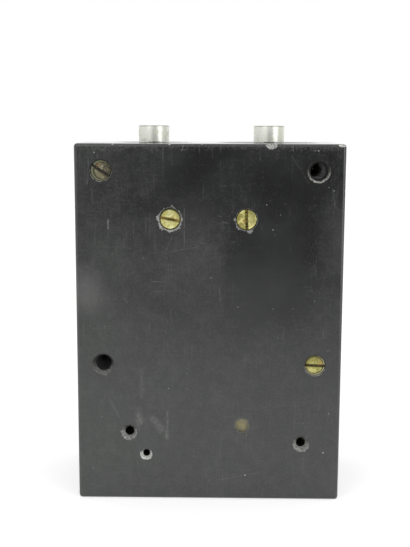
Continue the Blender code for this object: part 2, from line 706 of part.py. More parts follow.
def make_front_panel():
    bottom = PARTING_HEIGHT + PARTING_GAP / 2
    shape = bmesh.new()
    rounded_box(shape, (-CASE_HALF, PANEL_BACK, bottom), (CASE_HALF, PANEL_FRONT, CASE_HEIGHT),
                EDGE_RADIUS, ("-Y", "-Z"))
    panel = add_piece("front_panel", shape, "hard_rubber")
    shape = bmesh.new()
    seat_radius = WINDOW_RADIUS + GLASS_MARGIN + SEAT_GAP
    profile = [(0, -OVERRUN), (WINDOW_RADIUS, -OVERRUN), (WINDOW_RADIUS, GLASS_LEDGE),
               (seat_radius, GLASS_LEDGE), (seat_radius, PANEL_THICKNESS + OVERRUN),
               (0, PANEL_THICKNESS + OVERRUN)]
    turned(shape, profile, (0, PANEL_BACK, WINDOW_HEIGHT), "Y", WINDOW_STEPS)
    cut(panel, shape)
    shape = bmesh.new()
    for x, height in corner_places():
        rod(shape, INSERT_RADIUS + SEAT_GAP, (x, PANEL_BACK - OVERRUN, height), "Y",
            OVERRUN + INSERT_LENGTH + SEAT_GAP)
    rod(shape, ZERO_SHAFT_RADIUS + HOLE_GAP, (0, PANEL_BACK - OVERRUN, ZERO_SCREW_HEIGHT), "Y",
        PANEL_THICKNESS + 2 * OVERRUN)
    cut(panel, shape)
    shape = bmesh.new()
    half_groove = TONGUE_HALF + SEAT_GAP
    box(shape, (-half_groove, PANEL_BACK - OVERRUN, bottom - OVERRUN),
        (half_groove, PANEL_BACK + TONGUE_THICKNESS + SEAT_GAP, bottom + TONGUE_HEIGHT + SEAT_GAP))
    cut(panel, shape)


def make_battery_cover():
    top = PARTING_HEIGHT - PARTING_GAP / 2
    shape = bmesh.new()
    rounded_box(shape, (-CASE_HALF, PANEL_BACK, 0), (CASE_HALF, PANEL_FRONT, top), EDGE_RADIUS, ("-Y", "+Z"))
    cover = add_piece("battery_cover", shape, "hard_rubber")
    shape = bmesh.new()
    box(shape, (-TONGUE_HALF, PANEL_BACK + PARTING_GAP / 2, top - OVERRUN),
        (TONGUE_HALF, PANEL_BACK + TONGUE_THICKNESS, top + TONGUE_HEIGHT))
    rib_back = CELL_DEPTH + CELL_RADIUS + SEAT_GAP
    for side in (-1, 1):
        middle = side * COVER_RIB_SPACING / 2
        box(shape, (middle - COVER_RIB_THICKNESS / 2, rib_back, CELL_HEIGHT - COVER_RIB_HEIGHT / 2),
            (middle + COVER_RIB_THICKNESS / 2, PANEL_BACK + OVERRUN, CELL_HEIGHT + COVER_RIB_HEIGHT / 2))
    join(cover, shape)
    shape = bmesh.new()
    for x, height in cover_screw_places():
        flat_head_hole(shape, x, height, PANEL_FRONT, PANEL_THICKNESS + OVERRUN, True,
                       COVER_SCREW_HEAD_RADIUS, COVER_SCREW_RADIUS)
    cut(cover, shape)


def make_window():
    glass_back = PANEL_BACK + GLASS_LEDGE + SEAT_GAP
    radius = WINDOW_RADIUS + GLASS_MARGIN
    shape = bmesh.new()
    rod(shape, radius, (0, glass_back, WINDOW_HEIGHT), "Y", GLASS_THICKNESS, WINDOW_STEPS)
    add_piece("window_glass", shape, "glass")
    spigot_back = glass_back + GLASS_THICKNESS + SEAT_GAP
    seat = PANEL_FRONT + SEAT_GAP
    front = seat + BEZEL_FLANGE
    outer = WINDOW_RADIUS + BEZEL_WIDTH
    profile = [(WINDOW_RADIUS, spigot_back), (radius, spigot_back), (radius, seat), (outer, seat),
               (outer, front - BEZEL_CHAMFER), (outer - BEZEL_CHAMFER, front),
               (WINDOW_RADIUS + BEZEL_CHAMFER, front), (WINDOW_RADIUS, front - BEZEL_CHAMFER)]
    shape = bmesh.new()
    turned(shape, profile, (0, 0, WINDOW_HEIGHT), "Y", WINDOW_STEPS, closed=True)
    add_piece("window_bezel", shape, "nickel")


def make_case_screws():
    length = PANEL_BACK + CASE_SCREW_GRIP - BACK - SCREW_SUNK
    flat_head_screw("case_screw_top_left", -CORNER_X, CORNER_TOP, BACK, length, SLOT_ANGLE_TOP_LEFT,
                    "dull_brass")
    flat_head_screw("case_screw_low_right", CORNER_X, CORNER_LOW, BACK, length, SLOT_ANGLE_LOW_RIGHT,
                    "bright_brass")
    length = BASE_FRONT - SCREW_SUNK - BACK - SEAT_GAP
    flat_head_screw("movement_screw_left", MOVEMENT_SCREW_LEFT_X, MOVEMENT_SCREW_HEIGHT, BACK, length,
                    SLOT_ANGLE_MOVEMENT_LEFT, "bright_brass")
    flat_head_screw("movement_screw_right", MOVEMENT_SCREW_RIGHT_X, MOVEMENT_SCREW_HEIGHT, BACK, length,
                    SLOT_ANGLE_MOVEMENT_RIGHT, "bright_brass")
    for side, (x, height) in zip(("left", "right"), cover_screw_places()):
        flat_head_screw(f"cover_screw_{side}", x, height, PANEL_FRONT, COVER_SCREW_LENGTH, SLOT_ANGLE_COVER,
                        "bright_brass", True, COVER_SCREW_HEAD_RADIUS, COVER_SCREW_RADIUS)


def make_inserts():
    names = ("top_left", "top_right", "low_left", "low_right")
    bore = SCREW_RADIUS + HOLE_GAP
    for name, (x, height) in zip(names, corner_places()):
        shape = bmesh.new()
        profile = [(bore, 0), (INSERT_RADIUS, 0), (INSERT_RADIUS, INSERT_LENGTH), (bore, INSERT_LENGTH)]
        turned(shape, profile, (x, PANEL_BACK, height), "Y", SMALL_STEPS, closed=True)
        add_piece(f"panel_insert_{name}", shape, "bright_brass")


# Contact posts

def make_post(side, x):
    """A plain post with its stud through the top wall, and washer, lug and nut inside."""
    centre = (x, CASE_MIDDLE)
    seat = CASE_HEIGHT + SEAT_GAP
    washer_bottom = WASHER_TOP - WASHER_THICKNESS
    stud_bottom = NUT_BOTTOM - STUD_PAST_NUT
    top = seat + POST_HEIGHT
    shape = bmesh.new()
    profile = [(0, top), (POST_RADIUS - POST_CHAMFER, top), (POST_RADIUS, top - POST_CHAMFER),
               (POST_RADIUS, seat), (STUD_RADIUS, seat), (STUD_RADIUS, stud_bottom), (0, stud_bottom)]
    turned(shape, profile, (*centre, 0), "Z", ROUND_STEPS)
    add_piece(f"post_{side}", shape, "nickel")
    bore = STUD_RADIUS + HOLE_GAP
    shape = bmesh.new()
    profile = [(bore, washer_bottom), (WASHER_RADIUS, washer_bottom), (WASHER_RADIUS, WASHER_TOP),
               (bore, WASHER_TOP)]
    turned(shape, profile, (*centre, 0), "Z", SMALL_STEPS, closed=True)
    add_piece(f"post_washer_{side}", shape, "dull_brass")
    hex_nut(f"post_nut_{side}", centre, "Z", NUT_BOTTOM, NUT_FLATS, NUT_HEIGHT, bore, "dull_brass")
    inward = 1 if x < 0 else -1
    neck = math.asin(LUG_TAIL_WIDTH / 2 / LUG_RADIUS)
    start, end = (neck, 2 * math.pi - neck) if inward > 0 else (math.pi + neck, 3 * math.pi - neck)
    tail = x + inward * LUG_TAIL
    outline = arc(centre, LUG_RADIUS, start, end, SMALL_STEPS)
    half_tail = inward * LUG_TAIL_WIDTH / 2
    outline += [(tail, CASE_MIDDLE - half_tail), (tail, CASE_MIDDLE + half_tail)]
    shape = bmesh.new()
    prism(shape, outline, "Z", LUG_BOTTOM, LUG_THICKNESS)
    lug = add_piece(f"post_lug_{side}", shape, "dull_brass")
    shape = bmesh.new()
    rod(shape, bore, (*centre, LUG_BOTTOM - OVERRUN), "Z", LUG_THICKNESS + 2 * OVERRUN)
    cut(lug, shape)


# Movement: what stands still

def above_coil(outline):
    """Move an outline given from the coil's axis to its place in the case."""
    return [(first, second + COIL_HEIGHT) for first, second in outline]


def make_base():
    half = BASE_WIDTH / 2
    ear = PILLAR_X + EAR_REACH
    outline = mirrored([(half - BASE_SHOULDER, BASE_TOP_RISE), (half, BASE_TOP_RISE - BASE_SHOULDER),
                        (half, PILLAR_RISE + EAR_HALF_HEIGHT), (ear, PILLAR_RISE + EAR_HALF_HEIGHT),
                        (ear, PILLAR_RISE - EAR_HALF_HEIGHT), (half, PILLAR_RISE - EAR_HALF_HEIGHT),
                        (half, -MAGNET_LEG_BELOW)])
    shape = bmesh.new()
    prism(shape, above_coil(outline), "Y", BASE_BACK, BASE_THICKNESS)
    base = add_piece("movement_base", shape, "dull_brass")
    shape = bmesh.new()
    through = BASE_THICKNESS + 2 * OVERRUN
    rod(shape, BASE_OPENING_RADIUS, (0, BASE_BACK - OVERRUN, COIL_HEIGHT), "Y", through, ROUND_STEPS)
    for x in (MOVEMENT_SCREW_LEFT_X, MOVEMENT_SCREW_RIGHT_X):
        rod(shape, SCREW_RADIUS + HOLE_GAP, (x, BASE_BACK - OVERRUN, MOVEMENT_SCREW_HEIGHT), "Y", through)
    cut(base, shape)


def make_magnet():
    inner = MAGNET_GAP / 2
    outer = inner + MAGNET_WIDTH
    bend = (0, MAGNET_BEND_RISE)
    outline = arc(bend, outer, 0, math.pi, ROUND_STEPS)
    outline += [(-outer, -MAGNET_LEG_BELOW), (-inner, -MAGNET_LEG_BELOW)]
    outline += arc(bend, inner, math.pi, 0, ROUND_STEPS)
    outline += [(inner, -MAGNET_LEG_BELOW), (outer, -MAGNET_LEG_BELOW)]
    shape = bmesh.new()
    prism(shape, above_coil(outline), "Y", MAGNET_BACK, MAGNET_THICKNESS)
    magnet = add_piece("magnet", shape, "magnet_steel")
    bevel = magnet.modifiers.new("Edges", "BEVEL")
    bevel.width = MAGNET_EDGE
    bevel.segments = 1
    bevel.limit_method = "ANGLE"
    bevel.angle_limit = SMOOTH_ANGLE


def make_poles():
    face = MAGNET_GAP / 2 - SEAT_GAP
    horn_rise = POLE_BORE_RADIUS * math.sin(POLE_HORN_ANGLE)
    bore = arc((0, 0), POLE_BORE_RADIUS, -POLE_HORN_ANGLE, POLE_HORN_ANGLE, SMALL_STEPS)
    horn_x = bore[0][0]
    shoulder = horn_x + POLE_HALF_HEIGHT - horn_rise
    right = bore + [(shoulder, POLE_HALF_HEIGHT), (face, POLE_HALF_HEIGHT),
                    (face, -POLE_HALF_HEIGHT), (shoulder, -POLE_HALF_HEIGHT)]
    for side, flip in (("right", 1), ("left", -1)):
        shape = bmesh.new()
        prism(shape, above_coil([(flip * first, second) for first, second in right]), "Y",
              MAGNET_BACK, MAGNET_THICKNESS)
        add_piece(f"pole_shoe_{side}", shape, "steel")


def make_core():
    shape = bmesh.new()
    rod(shape, CORE_RADIUS, (0, CORE_MIDDLE - CORE_LENGTH / 2, COIL_HEIGHT), "Y", CORE_LENGTH, ROUND_STEPS)
    add_piece("core", shape, "steel")
    bar = POLE_HALF_HEIGHT + SEAT_GAP
    half = MAGNET_GAP / 2 - SEAT_GAP
    stem = STRAP_STEM_WIDTH / 2
    foot = math.hypot(CORE_RADIUS + SEAT_GAP, stem)
    outline = mirrored([(half, bar + STRAP_HEIGHT), (half, bar), (stem, bar), (stem, foot)])
    shape = bmesh.new()
    prism(shape, above_coil(outline), "Y", CORE_MIDDLE - STRAP_THICKNESS / 2, STRAP_THICKNESS)
    strap = add_piece("core_strap", shape, "dull_brass")
    shape = bmesh.new()
    rod(shape, CORE_RADIUS + SEAT_GAP, (0, CORE_MIDDLE - STRAP_THICKNESS, COIL_HEIGHT), "Y",
        2 * STRAP_THICKNESS, ROUND_STEPS)
    cut(strap, shape)


def bridge_outline(foot, foot_top, bar_near, bar_far):
    """Half of a bridge seen along Z: foot, leg and half of the bar, to be mirrored."""
    leg = BRIDGE_SPAN / 2
    outside = leg + BRIDGE_LEG
    toe = outside + BRIDGE_FOOT
    return [(leg, bar_near), (leg, foot), (toe, foot), (toe, foot_top), (outside, foot_top),
            (outside, bar_far)]


def make_bridges():
    foot = MAGNET_FRONT + SEAT_GAP
    low = COIL_HEIGHT - BRIDGE_WIDTH / 2
    shape = bmesh.new()
    half_bridge = bridge_outline(foot, foot + BRIDGE_FOOT_THICKNESS, BRIDGE_BACK, BRIDGE_FRONT)
    prism(shape, mirrored(half_bridge), "Z", low, BRIDGE_WIDTH)
    front = add_piece("bridge_front", shape, "bright_brass")
    shape = bmesh.new()
    rod(shape, JEWEL_RADIUS + HOLE_GAP, (0, BRIDGE_BACK - OVERRUN, COIL_HEIGHT), "Y",
        BRIDGE_THICKNESS + 2 * OVERRUN)
    cut(front, shape)
    foot = BASE_BACK - SEAT_GAP
    shape = bmesh.new()
    half_bridge = bridge_outline(foot, foot - BRIDGE_FOOT_THICKNESS, REAR_BRIDGE_FRONT, REAR_BRIDGE_BACK)
    prism(shape, mirrored(half_bridge), "Z", low, BRIDGE_WIDTH)
    rear = add_piece("bridge_rear", shape, "bright_brass")
    shape = bmesh.new()
    abutment = SPRING_OUTER_RADIUS + SPRING_THICKNESS / 2 + SEAT_GAP
    half = ABUTMENT_WIDTH / 2
    box(shape, (abutment, REAR_BRIDGE_FRONT - REAR_BRIDGE_THICKNESS / 2, COIL_HEIGHT - half),
        (abutment + ABUTMENT_THICKNESS, rear_spring_back() + SPRING_HEIGHT, COIL_HEIGHT + half))
    join(rear, shape)
    shape = bmesh.new()
    rod(shape, JEWEL_RADIUS + HOLE_GAP, (0, REAR_BRIDGE_BACK - OVERRUN, COIL_HEIGHT), "Y",
        REAR_BRIDGE_THICKNESS + 2 * OVERRUN)
    cut(rear, shape)


def front_cup():
    """Where the front jewel's cup opens, and where its bottom lies."""
    opening = ARM_BACK - SEAT_GAP - JEWEL_FLANGE
    return opening, opening + CUP_DEPTH


def rear_cup():
    opening = REAR_BRIDGE_FRONT + JEWEL_REACH
    return opening, opening - CUP_DEPTH


def make_jewels():
    opening, bottom = front_cup()
    seat = BRIDGE_FRONT + SEAT_GAP
    head = seat + JEWEL_HEAD
    profile = [(0, bottom), (CUP_RADIUS, opening), (JEWEL_FLANGE_RADIUS, opening),
               (JEWEL_FLANGE_RADIUS, opening + JEWEL_FLANGE), (JEWEL_RADIUS, opening + JEWEL_FLANGE),
               (JEWEL_RADIUS, seat), (JEWEL_HEAD_RADIUS, seat), (JEWEL_HEAD_RADIUS, head), (0, head)]
    shape = bmesh.new()
    turned(shape, profile, (0, 0, COIL_HEIGHT), "Y", SMALL_STEPS)
    jewel = add_piece("jewel_screw_front", shape, "bright_brass")
    cut(jewel, slot_cutter((0, head, COIL_HEIGHT), SLOT_ANGLE_JEWEL, JEWEL_HEAD_RADIUS + OVERRUN,
                           JEWEL_HEAD / 2, JEWEL_HEAD / 2, True))
    opening, bottom = rear_cup()
    seat = REAR_BRIDGE_BACK - SEAT_GAP
    head = seat - JEWEL_HEAD
    profile = [(0, bottom), (CUP_RADIUS, opening), (JEWEL_RADIUS, opening), (JEWEL_RADIUS, seat),
               (JEWEL_HEAD_RADIUS, seat), (JEWEL_HEAD_RADIUS, head), (0, head)]
    shape = bmesh.new()
    turned(shape, profile, (0, 0, COIL_HEIGHT), "Y", SMALL_STEPS)
    jewel = add_piece("jewel_screw_rear", shape, "bright_brass")
    cut(jewel, slot_cutter((0, head, COIL_HEIGHT), SLOT_ANGLE_JEWEL, JEWEL_HEAD_RADIUS + OVERRUN,
                           JEWEL_HEAD / 2, JEWEL_HEAD / 2, False))


def stop_pin_angle():
    """How far past the needle's ends the stop pins stand, measured at the coil's axis."""
    throw = math.atan(CRANK_THROW * math.sin(ZERO_TRAVEL) / (ZERO_ARM_REACH - CRANK_THROW))
    width = (POINTER_WIDTH / 2 + STOP_PIN_RADIUS + SEAT_GAP) / STOP_PIN_REACH
    return REST_ANGLE + NEEDLE_OVERSWING + throw + width


def make_dial():
    shape = bmesh.new()
    rod(shape, DIAL_RADIUS, (0, DIAL_BACK, WINDOW_HEIGHT), "Y", DIAL_THICKNESS, WINDOW_STEPS)
    dial = add_piece("dial_plate", shape, "dial_card")
    shape = bmesh.new()
    for side in (-1, 1):
        angle = side * stop_pin_angle()
        place = (STOP_PIN_REACH * math.sin(angle), DIAL_BACK + DIAL_THICKNESS / 2,
                 COIL_HEIGHT + STOP_PIN_REACH * math.cos(angle))
        rod(shape, STOP_PIN_RADIUS, place, "Y", DIAL_THICKNESS / 2 + STOP_PIN_HEIGHT, PIN_STEPS)
    join(dial, shape)
    shape = bmesh.new()
    skirt_bottom = COIL_HEIGHT - DIAL_OPENING_RADIUS - DIAL_SKIRT_BELOW
    half_skirt = DIAL_SKIRT_WIDTH / 2
    box(shape, (-half_skirt, DIAL_BACK, skirt_bottom), (half_skirt, DIAL_FRONT, COIL_HEIGHT))
    join(dial, shape)
    shape = bmesh.new()
    through = DIAL_THICKNESS + 2 * OVERRUN
    rod(shape, DIAL_OPENING_RADIUS, (0, DIAL_BACK - OVERRUN, COIL_HEIGHT), "Y", through, ROUND_STEPS)
    for x in (-PILLAR_X, PILLAR_X):
        rod(shape, DIAL_SCREW_RADIUS + HOLE_GAP, (x, DIAL_BACK - OVERRUN, PILLAR_HEIGHT), "Y", through)
    cut(dial, shape)
    foot = BASE_FRONT + SEAT_GAP
    top = DIAL_BACK - SEAT_GAP
    bore = DIAL_SCREW_RADIUS + HOLE_GAP
    profile = [(0, foot), (PILLAR_RADIUS, foot), (PILLAR_RADIUS, top), (bore, top),
               (bore, top - PILLAR_BORE_DEPTH), (0, top - PILLAR_BORE_DEPTH)]
    seat = DIAL_FRONT + SEAT_GAP
    head = seat + DIAL_SCREW_HEAD
    tip = seat - DIAL_SCREW_LENGTH
    screw_profile = [(0, tip), (DIAL_SCREW_RADIUS, tip), (DIAL_SCREW_RADIUS, seat),
                     (DIAL_SCREW_HEAD_RADIUS, seat), (DIAL_SCREW_HEAD_RADIUS, head), (0, head)]
    for side, x in (("left", -PILLAR_X), ("right", PILLAR_X)):
        shape = bmesh.new()
        turned(shape, profile, (x, 0, PILLAR_HEIGHT), "Y", SMALL_STEPS)
        add_piece(f"dial_pillar_{side}", shape, "bright_brass")
        shape = bmesh.new()
        turned(shape, screw_profile, (x, 0, PILLAR_HEIGHT), "Y", SMALL_STEPS)
        screw = add_piece(f"dial_screw_{side}", shape, "bright_brass")
        cut(screw, slot_cutter((x, head, PILLAR_HEIGHT), SLOT_ANGLE_DIAL, DIAL_SCREW_HEAD_RADIUS + OVERRUN,
                               DIAL_SCREW_HEAD / 2, DIAL_SCREW_HEAD / 2, True))


# Needle: all that turns with the coil, modelled with the pointer upright on its axis

def front_spring_back():
    return ARM_BACK - SPRING_DROP - SPRING_HEIGHT


def rear_spring_back():
    return REAR_BRIDGE_FRONT + SPRING_DROP + SPRING_THICKNESS


def loop_outline(half_x, half_y):
    return rounded_rectangle(half_x, half_y, COIL_CORNER, (0, CORE_MIDDLE))


def coil_end():
    """How far the winding's end lies from the middle of the core."""
    return CORE_LENGTH / 2 + COIL_END_GAP + FORMER_WALL + GLUE_GAP + WINDING_WALL


def make_coil(axis):
    half_x = CORE_RADIUS + COIL_SIDE_GAP
    half_y = CORE_LENGTH / 2 + COIL_END_GAP
    shape = bmesh.new()
    ring_prism(shape, loop_outline(half_x + FORMER_WALL, half_y + FORMER_WALL), loop_outline(half_x, half_y),
               "Z", -FORMER_WIDTH / 2, FORMER_WIDTH)
    add_piece("coil_former", shape, "aluminium", axis)
    half_x += FORMER_WALL + GLUE_GAP
    half_y += FORMER_WALL + GLUE_GAP
    shape = bmesh.new()
    ring_prism(shape, loop_outline(half_x + WINDING_WALL, half_y + WINDING_WALL),
               loop_outline(half_x, half_y), "Z", -WINDING_WIDTH / 2, WINDING_WIDTH)
    add_piece("coil_winding", shape, "copper_wire", axis)


def arbor_profile(foot, forward, collet, tip):
    """A glued foot, a thin shaft with the hairspring's collet, and a pointed pivot."""
    foot_top = foot + forward * ARBOR_FOOT
    collet_top = collet + forward * COLLET_HEIGHT
    return [(0, foot), (ARBOR_FOOT_RADIUS, foot), (ARBOR_FOOT_RADIUS, foot_top), (ARBOR_RADIUS, foot_top),
            (ARBOR_RADIUS, collet), (COLLET_RADIUS, collet), (COLLET_RADIUS, collet_top),
            (ARBOR_RADIUS, collet_top), (ARBOR_RADIUS, tip - forward * PIVOT_LENGTH), (0, tip)]


def make_arbors(axis):
    collet_overlap = (COLLET_HEIGHT - SPRING_HEIGHT) / 2
    shape = bmesh.new()
    profile = arbor_profile(CORE_MIDDLE + coil_end() + GLUE_GAP, 1, front_spring_back() - collet_overlap,
                            front_cup()[1] - PIVOT_GAP)
    turned(shape, profile, (0, 0, 0), "Y", SMALL_STEPS)
    add_piece("arbor_front", shape, "steel", axis)
    shape = bmesh.new()
    profile = arbor_profile(CORE_MIDDLE - coil_end() - GLUE_GAP, -1,
                            rear_spring_back() + SPRING_HEIGHT + collet_overlap, rear_cup()[1] + PIVOT_GAP)
    turned(shape, profile, (0, 0, 0), "Y", SMALL_STEPS)
    add_piece("arbor_rear", shape, "steel", axis)


def spiral(shape, inner, outer, turns, start_angle, level):
    """A flat ribbon wound evenly from the inner to the outer radius."""
    count = turns * SPRING_STEPS
    rings = []
    for step in range(count + 1):
        angle = start_angle + 2 * math.pi * step / SPRING_STEPS
        middle = inner + (outer - inner) * step / count
        ring = []
        for side, lift in ((-1, 0), (1, 0), (1, SPRING_HEIGHT), (-1, SPRING_HEIGHT)):
            radius = middle + side * SPRING_THICKNESS / 2
            ring.append(shape.verts.new((radius * math.cos(angle), level + lift, radius * math.sin(angle))))
        rings.append(ring)
    for first, second in zip(rings, rings[1:]):
        for index in range(4):
            after = (index + 1) % 4
            shape.faces.new((first[index], first[after], second[after], second[index]))
    shape.faces.new(rings[0])
    shape.faces.new(rings[-1])


def make_hairsprings(axis):
    inner = COLLET_RADIUS + SEAT_GAP + SPRING_THICKNESS / 2
    outer = SPRING_OUTER_RADIUS
    # Each spring's outer end lies beside its abutment while the needle is at rest
    down = -math.pi / 2 + REST_ANGLE
    across = REST_ANGLE
    shape = bmesh.new()
    spiral(shape, inner, outer, SPRING_TURNS, down, front_spring_back())
    add_piece("hairspring_front", shape, "spring_bronze", axis)
    shape = bmesh.new()
    spiral(shape, inner, outer, SPRING_TURNS, across, rear_spring_back())
    add_piece("hairspring_rear", shape, "spring_bronze", axis)


def first_moment(piece):
    """The piece's volume times the height of its centroid over the needle's axis."""
    work = bmesh.new()
    work.from_mesh(piece.data)
    bmesh.ops.triangulate(work, faces=work.faces)
    moment = 0.0
    for face in work.faces:
        first, second, third = (vert.co for vert in face.verts)
        volume = first.dot(second.cross(third)) / 6
        moment += volume * (first.z + second.z + third.z) / 4
    work.free()
    return moment


def make_pointer(axis):
    spade = POINTER_LENGTH - SPADE_LENGTH
    neck = math.asin(POINTER_WIDTH / 2 / POINTER_HUB_RADIUS)
    tail_neck = math.asin(TAIL_WIDTH / 2 / POINTER_HUB_RADIUS)
    hub = arc((0, 0), POINTER_HUB_RADIUS, math.pi / 2 - neck, -math.pi / 2 + tail_neck, 6)
    outline = mirrored([(POINTER_TIP_WIDTH / 2, POINTER_LENGTH),
                        (SPADE_WIDTH / 2, spade + SPADE_WIDTH), (POINTER_WIDTH / 2, spade)]
                       + hub + [(TAIL_WIDTH / 2, -TAIL_LENGTH)])
    shape = bmesh.new()
    prism(shape, outline, "Y", POINTER_BACK, POINTER_THICKNESS)
    pointer = add_piece("pointer", shape, "pointer_black", axis)
    shape = bmesh.new()
    rod(shape, ARBOR_RADIUS + GLUE_GAP, (0, POINTER_BACK - OVERRUN, 0), "Y", POINTER_THICKNESS + 2 * OVERRUN)
    cut(pointer, shape)
    weight_volume = math.pi * WEIGHT_RADIUS ** 2 * WEIGHT_THICKNESS
    drop = first_moment(pointer) * POINTER_DENSITY / (weight_volume * WEIGHT_DENSITY)
    shape = bmesh.new()
    rod(shape, WEIGHT_RADIUS, (0, POINTER_BACK - GLUE_GAP - WEIGHT_THICKNESS, -drop), "Y", WEIGHT_THICKNESS)
    add_piece("balance_weight", shape, "bright_brass", axis)


# Zero adjuster

def make_zero_arm(axis):
    """The arm turns on the front jewel screw. Its fork holds the zero screw's pin."""
    pin_height = CRANK_THROW - ZERO_ARM_REACH
    slot = CRANK_PIN_RADIUS + FORK_GAP
    fork_top = pin_height + CRANK_THROW + FORK_GAP
    neck = math.asin(ARM_WIDTH / 2 / ARM_HUB_RADIUS)
    outline = mirrored(arc((0, 0), ARM_HUB_RADIUS, math.pi / 2, -math.pi / 2 + neck, SMALL_STEPS)[1:]
                       + [(ARM_WIDTH / 2, fork_top + ARM_SHOULDER), (FORK_WIDTH / 2, fork_top),
                          (FORK_WIDTH / 2, pin_height - FORK_END), (slot, pin_height - FORK_END),
                          (slot, pin_height - FORK_END + FORK_DEPTH)])
    shape = bmesh.new()
    prism(shape, outline, "Y", ARM_BACK, ARM_THICKNESS)
    arm = add_piece("zero_arm", shape, "bright_brass", axis)
    shape = bmesh.new()
    near = SPRING_OUTER_RADIUS + SPRING_THICKNESS / 2 + SEAT_GAP
    box(shape, (-ABUTMENT_WIDTH / 2, front_spring_back(), -near - ABUTMENT_THICKNESS),
        (ABUTMENT_WIDTH / 2, ARM_BACK + ARM_THICKNESS / 2, -near))
    join(arm, shape)
    shape = bmesh.new()
    rod(shape, JEWEL_RADIUS + HOLE_GAP, (0, ARM_BACK - OVERRUN, 0), "Y", ARM_THICKNESS + 2 * OVERRUN)
    cut(arm, shape)


def make_zero_screw(axis):
    """A slotted head outside the panel, a crank disc inside, and the pin that moves the fork."""
    crank_front = PANEL_BACK - SEAT_GAP
    crank_back = crank_front - CRANK_THICKNESS
    seat = PANEL_FRONT + SEAT_GAP
    head = seat + ZERO_HEAD_HEIGHT
    profile = [(0, crank_back), (CRANK_RADIUS, crank_back), (CRANK_RADIUS, crank_front),
               (ZERO_SHAFT_RADIUS, crank_front), (ZERO_SHAFT_RADIUS, seat), (ZERO_HEAD_RADIUS, seat),
               (ZERO_HEAD_RADIUS, head), (0, head)]
    shape = bmesh.new()
    turned(shape, profile, (0, 0, 0), "Y", SMALL_STEPS)
    screw = add_piece("zero_screw", shape, "bright_brass", axis)
    shape = bmesh.new()
    pin_end = ARM_BACK - CRANK_PIN_PAST_ARM
    pin_length = crank_back + CRANK_THICKNESS / 2 - pin_end
    rod(shape, CRANK_PIN_RADIUS, (0, pin_end, CRANK_THROW), "Y", pin_length, PIN_STEPS)
    join(screw, shape)
    cut(screw, slot_cutter((0, head, 0), 0.0, ZERO_HEAD_RADIUS + OVERRUN, SLOT_WIDTH,
                           ZERO_HEAD_HEIGHT / 2, True))


# Battery cell, its contacts, and the resistor

def make_cell():
    left = CELL_SHIFT - CELL_LENGTH / 2
    right = CELL_SHIFT + CELL_LENGTH / 2
    profile = [(0, left), (CELL_RADIUS - CELL_CRIMP, left), (CELL_RADIUS, left + CELL_CRIMP),
               (CELL_RADIUS, right - CELL_CRIMP), (CELL_RADIUS - CELL_CRIMP, right),
               (CELL_CAP_RADIUS, right), (CELL_CAP_RADIUS, right + CELL_CAP_HEIGHT),
               (0, right + CELL_CAP_HEIGHT)]
    shape = bmesh.new()
    turned(shape, profile, (0, CELL_DEPTH, CELL_HEIGHT), "X", ROUND_STEPS)
    add_piece("battery_cell", shape, "cell_card")


def left_contact():
    """Where the left strip's leg starts, where it touches the cell, and its lowest and highest edges."""
    low = HOLE_B_HEIGHT - HOLE_B_RADIUS - CONTACT_MARGIN / 2
    high = HOLE_A_HEIGHT + HOLE_A_RADIUS + CONTACT_MARGIN / 2
    return LEFT_LEG_X, LEFT_TOUCH_X, low, high


def right_contact():
    """The same for the right strip, which also covers the third hole."""
    low = HOLE_C_HEIGHT - HOLE_C_RADIUS - CONTACT_MARGIN / 2
    high = CONTACT_STUD_HEIGHT + CONTACT_STUD_RADIUS + CONTACT_MARGIN / 2
    return RIGHT_LEG_X, RIGHT_TOUCH_X, low, high


def leg_bow(leg, touch, share):
    """How far the leg leans in towards the cell at a share of its reach."""
    return (leg - touch) * math.sin(math.pi * share * CONTACT_BOW_SHARE)


def contact_outline(foot_end, leg, side, touch):
    """A strip seen from above: a foot along the back wall and a bowed leg beside the cell's end."""
    near = BACK_INSIDE + SEAT_GAP
    far = near + CONTACT_THICKNESS
    outer = []
    inner = []
    for step in range(CONTACT_STEPS + 1):
        share = step / CONTACT_STEPS
        forward = near + CONTACT_REACH * share
        bowed = leg - leg_bow(leg, touch, share)
        outer.append((bowed, forward))
        if forward > far:
            inner.append((bowed - side * CONTACT_THICKNESS, forward))
    corner = leg - side * CONTACT_THICKNESS
    return [(foot_end, far), (foot_end, near)] + outer + list(reversed(inner)) + [(corner, far)]


def make_contacts():
    leg, touch, low, high = left_contact()
    shape = bmesh.new()
    prism(shape, contact_outline(HOLE_B_X + CONTACT_MARGIN, leg, -1, touch), "Z", low, high - low)
    left = add_piece("contact_left", shape, "spring_bronze")
    shape = bmesh.new()
    through = CONTACT_THICKNESS + 2 * OVERRUN
    start = BACK_INSIDE + SEAT_GAP - OVERRUN
    for x, height, radius in ((HOLE_A_X, HOLE_A_HEIGHT, HOLE_A_RADIUS),
                              (HOLE_B_X, HOLE_B_HEIGHT, HOLE_B_RADIUS)):
        rod(shape, radius - TAP_SHRINK, (x, start, height), "Y", through)
    cut(left, shape)
    leg, touch, low, high = right_contact()
    shape = bmesh.new()
    prism(shape, contact_outline(CONTACT_STUD_X - CONTACT_MARGIN, leg, 1, touch), "Z", low, high - low)
    right = add_piece("contact_right", shape, "spring_bronze")
    shape = bmesh.new()
    rod(shape, HOLE_C_RADIUS - TAP_SHRINK, (HOLE_C_X, start, HOLE_C_HEIGHT), "Y", through)
    rod(shape, CONTACT_STUD_RADIUS + HOLE_GAP, (CONTACT_STUD_X, start, CONTACT_STUD_HEIGHT), "Y", through)
    cut(right, shape)


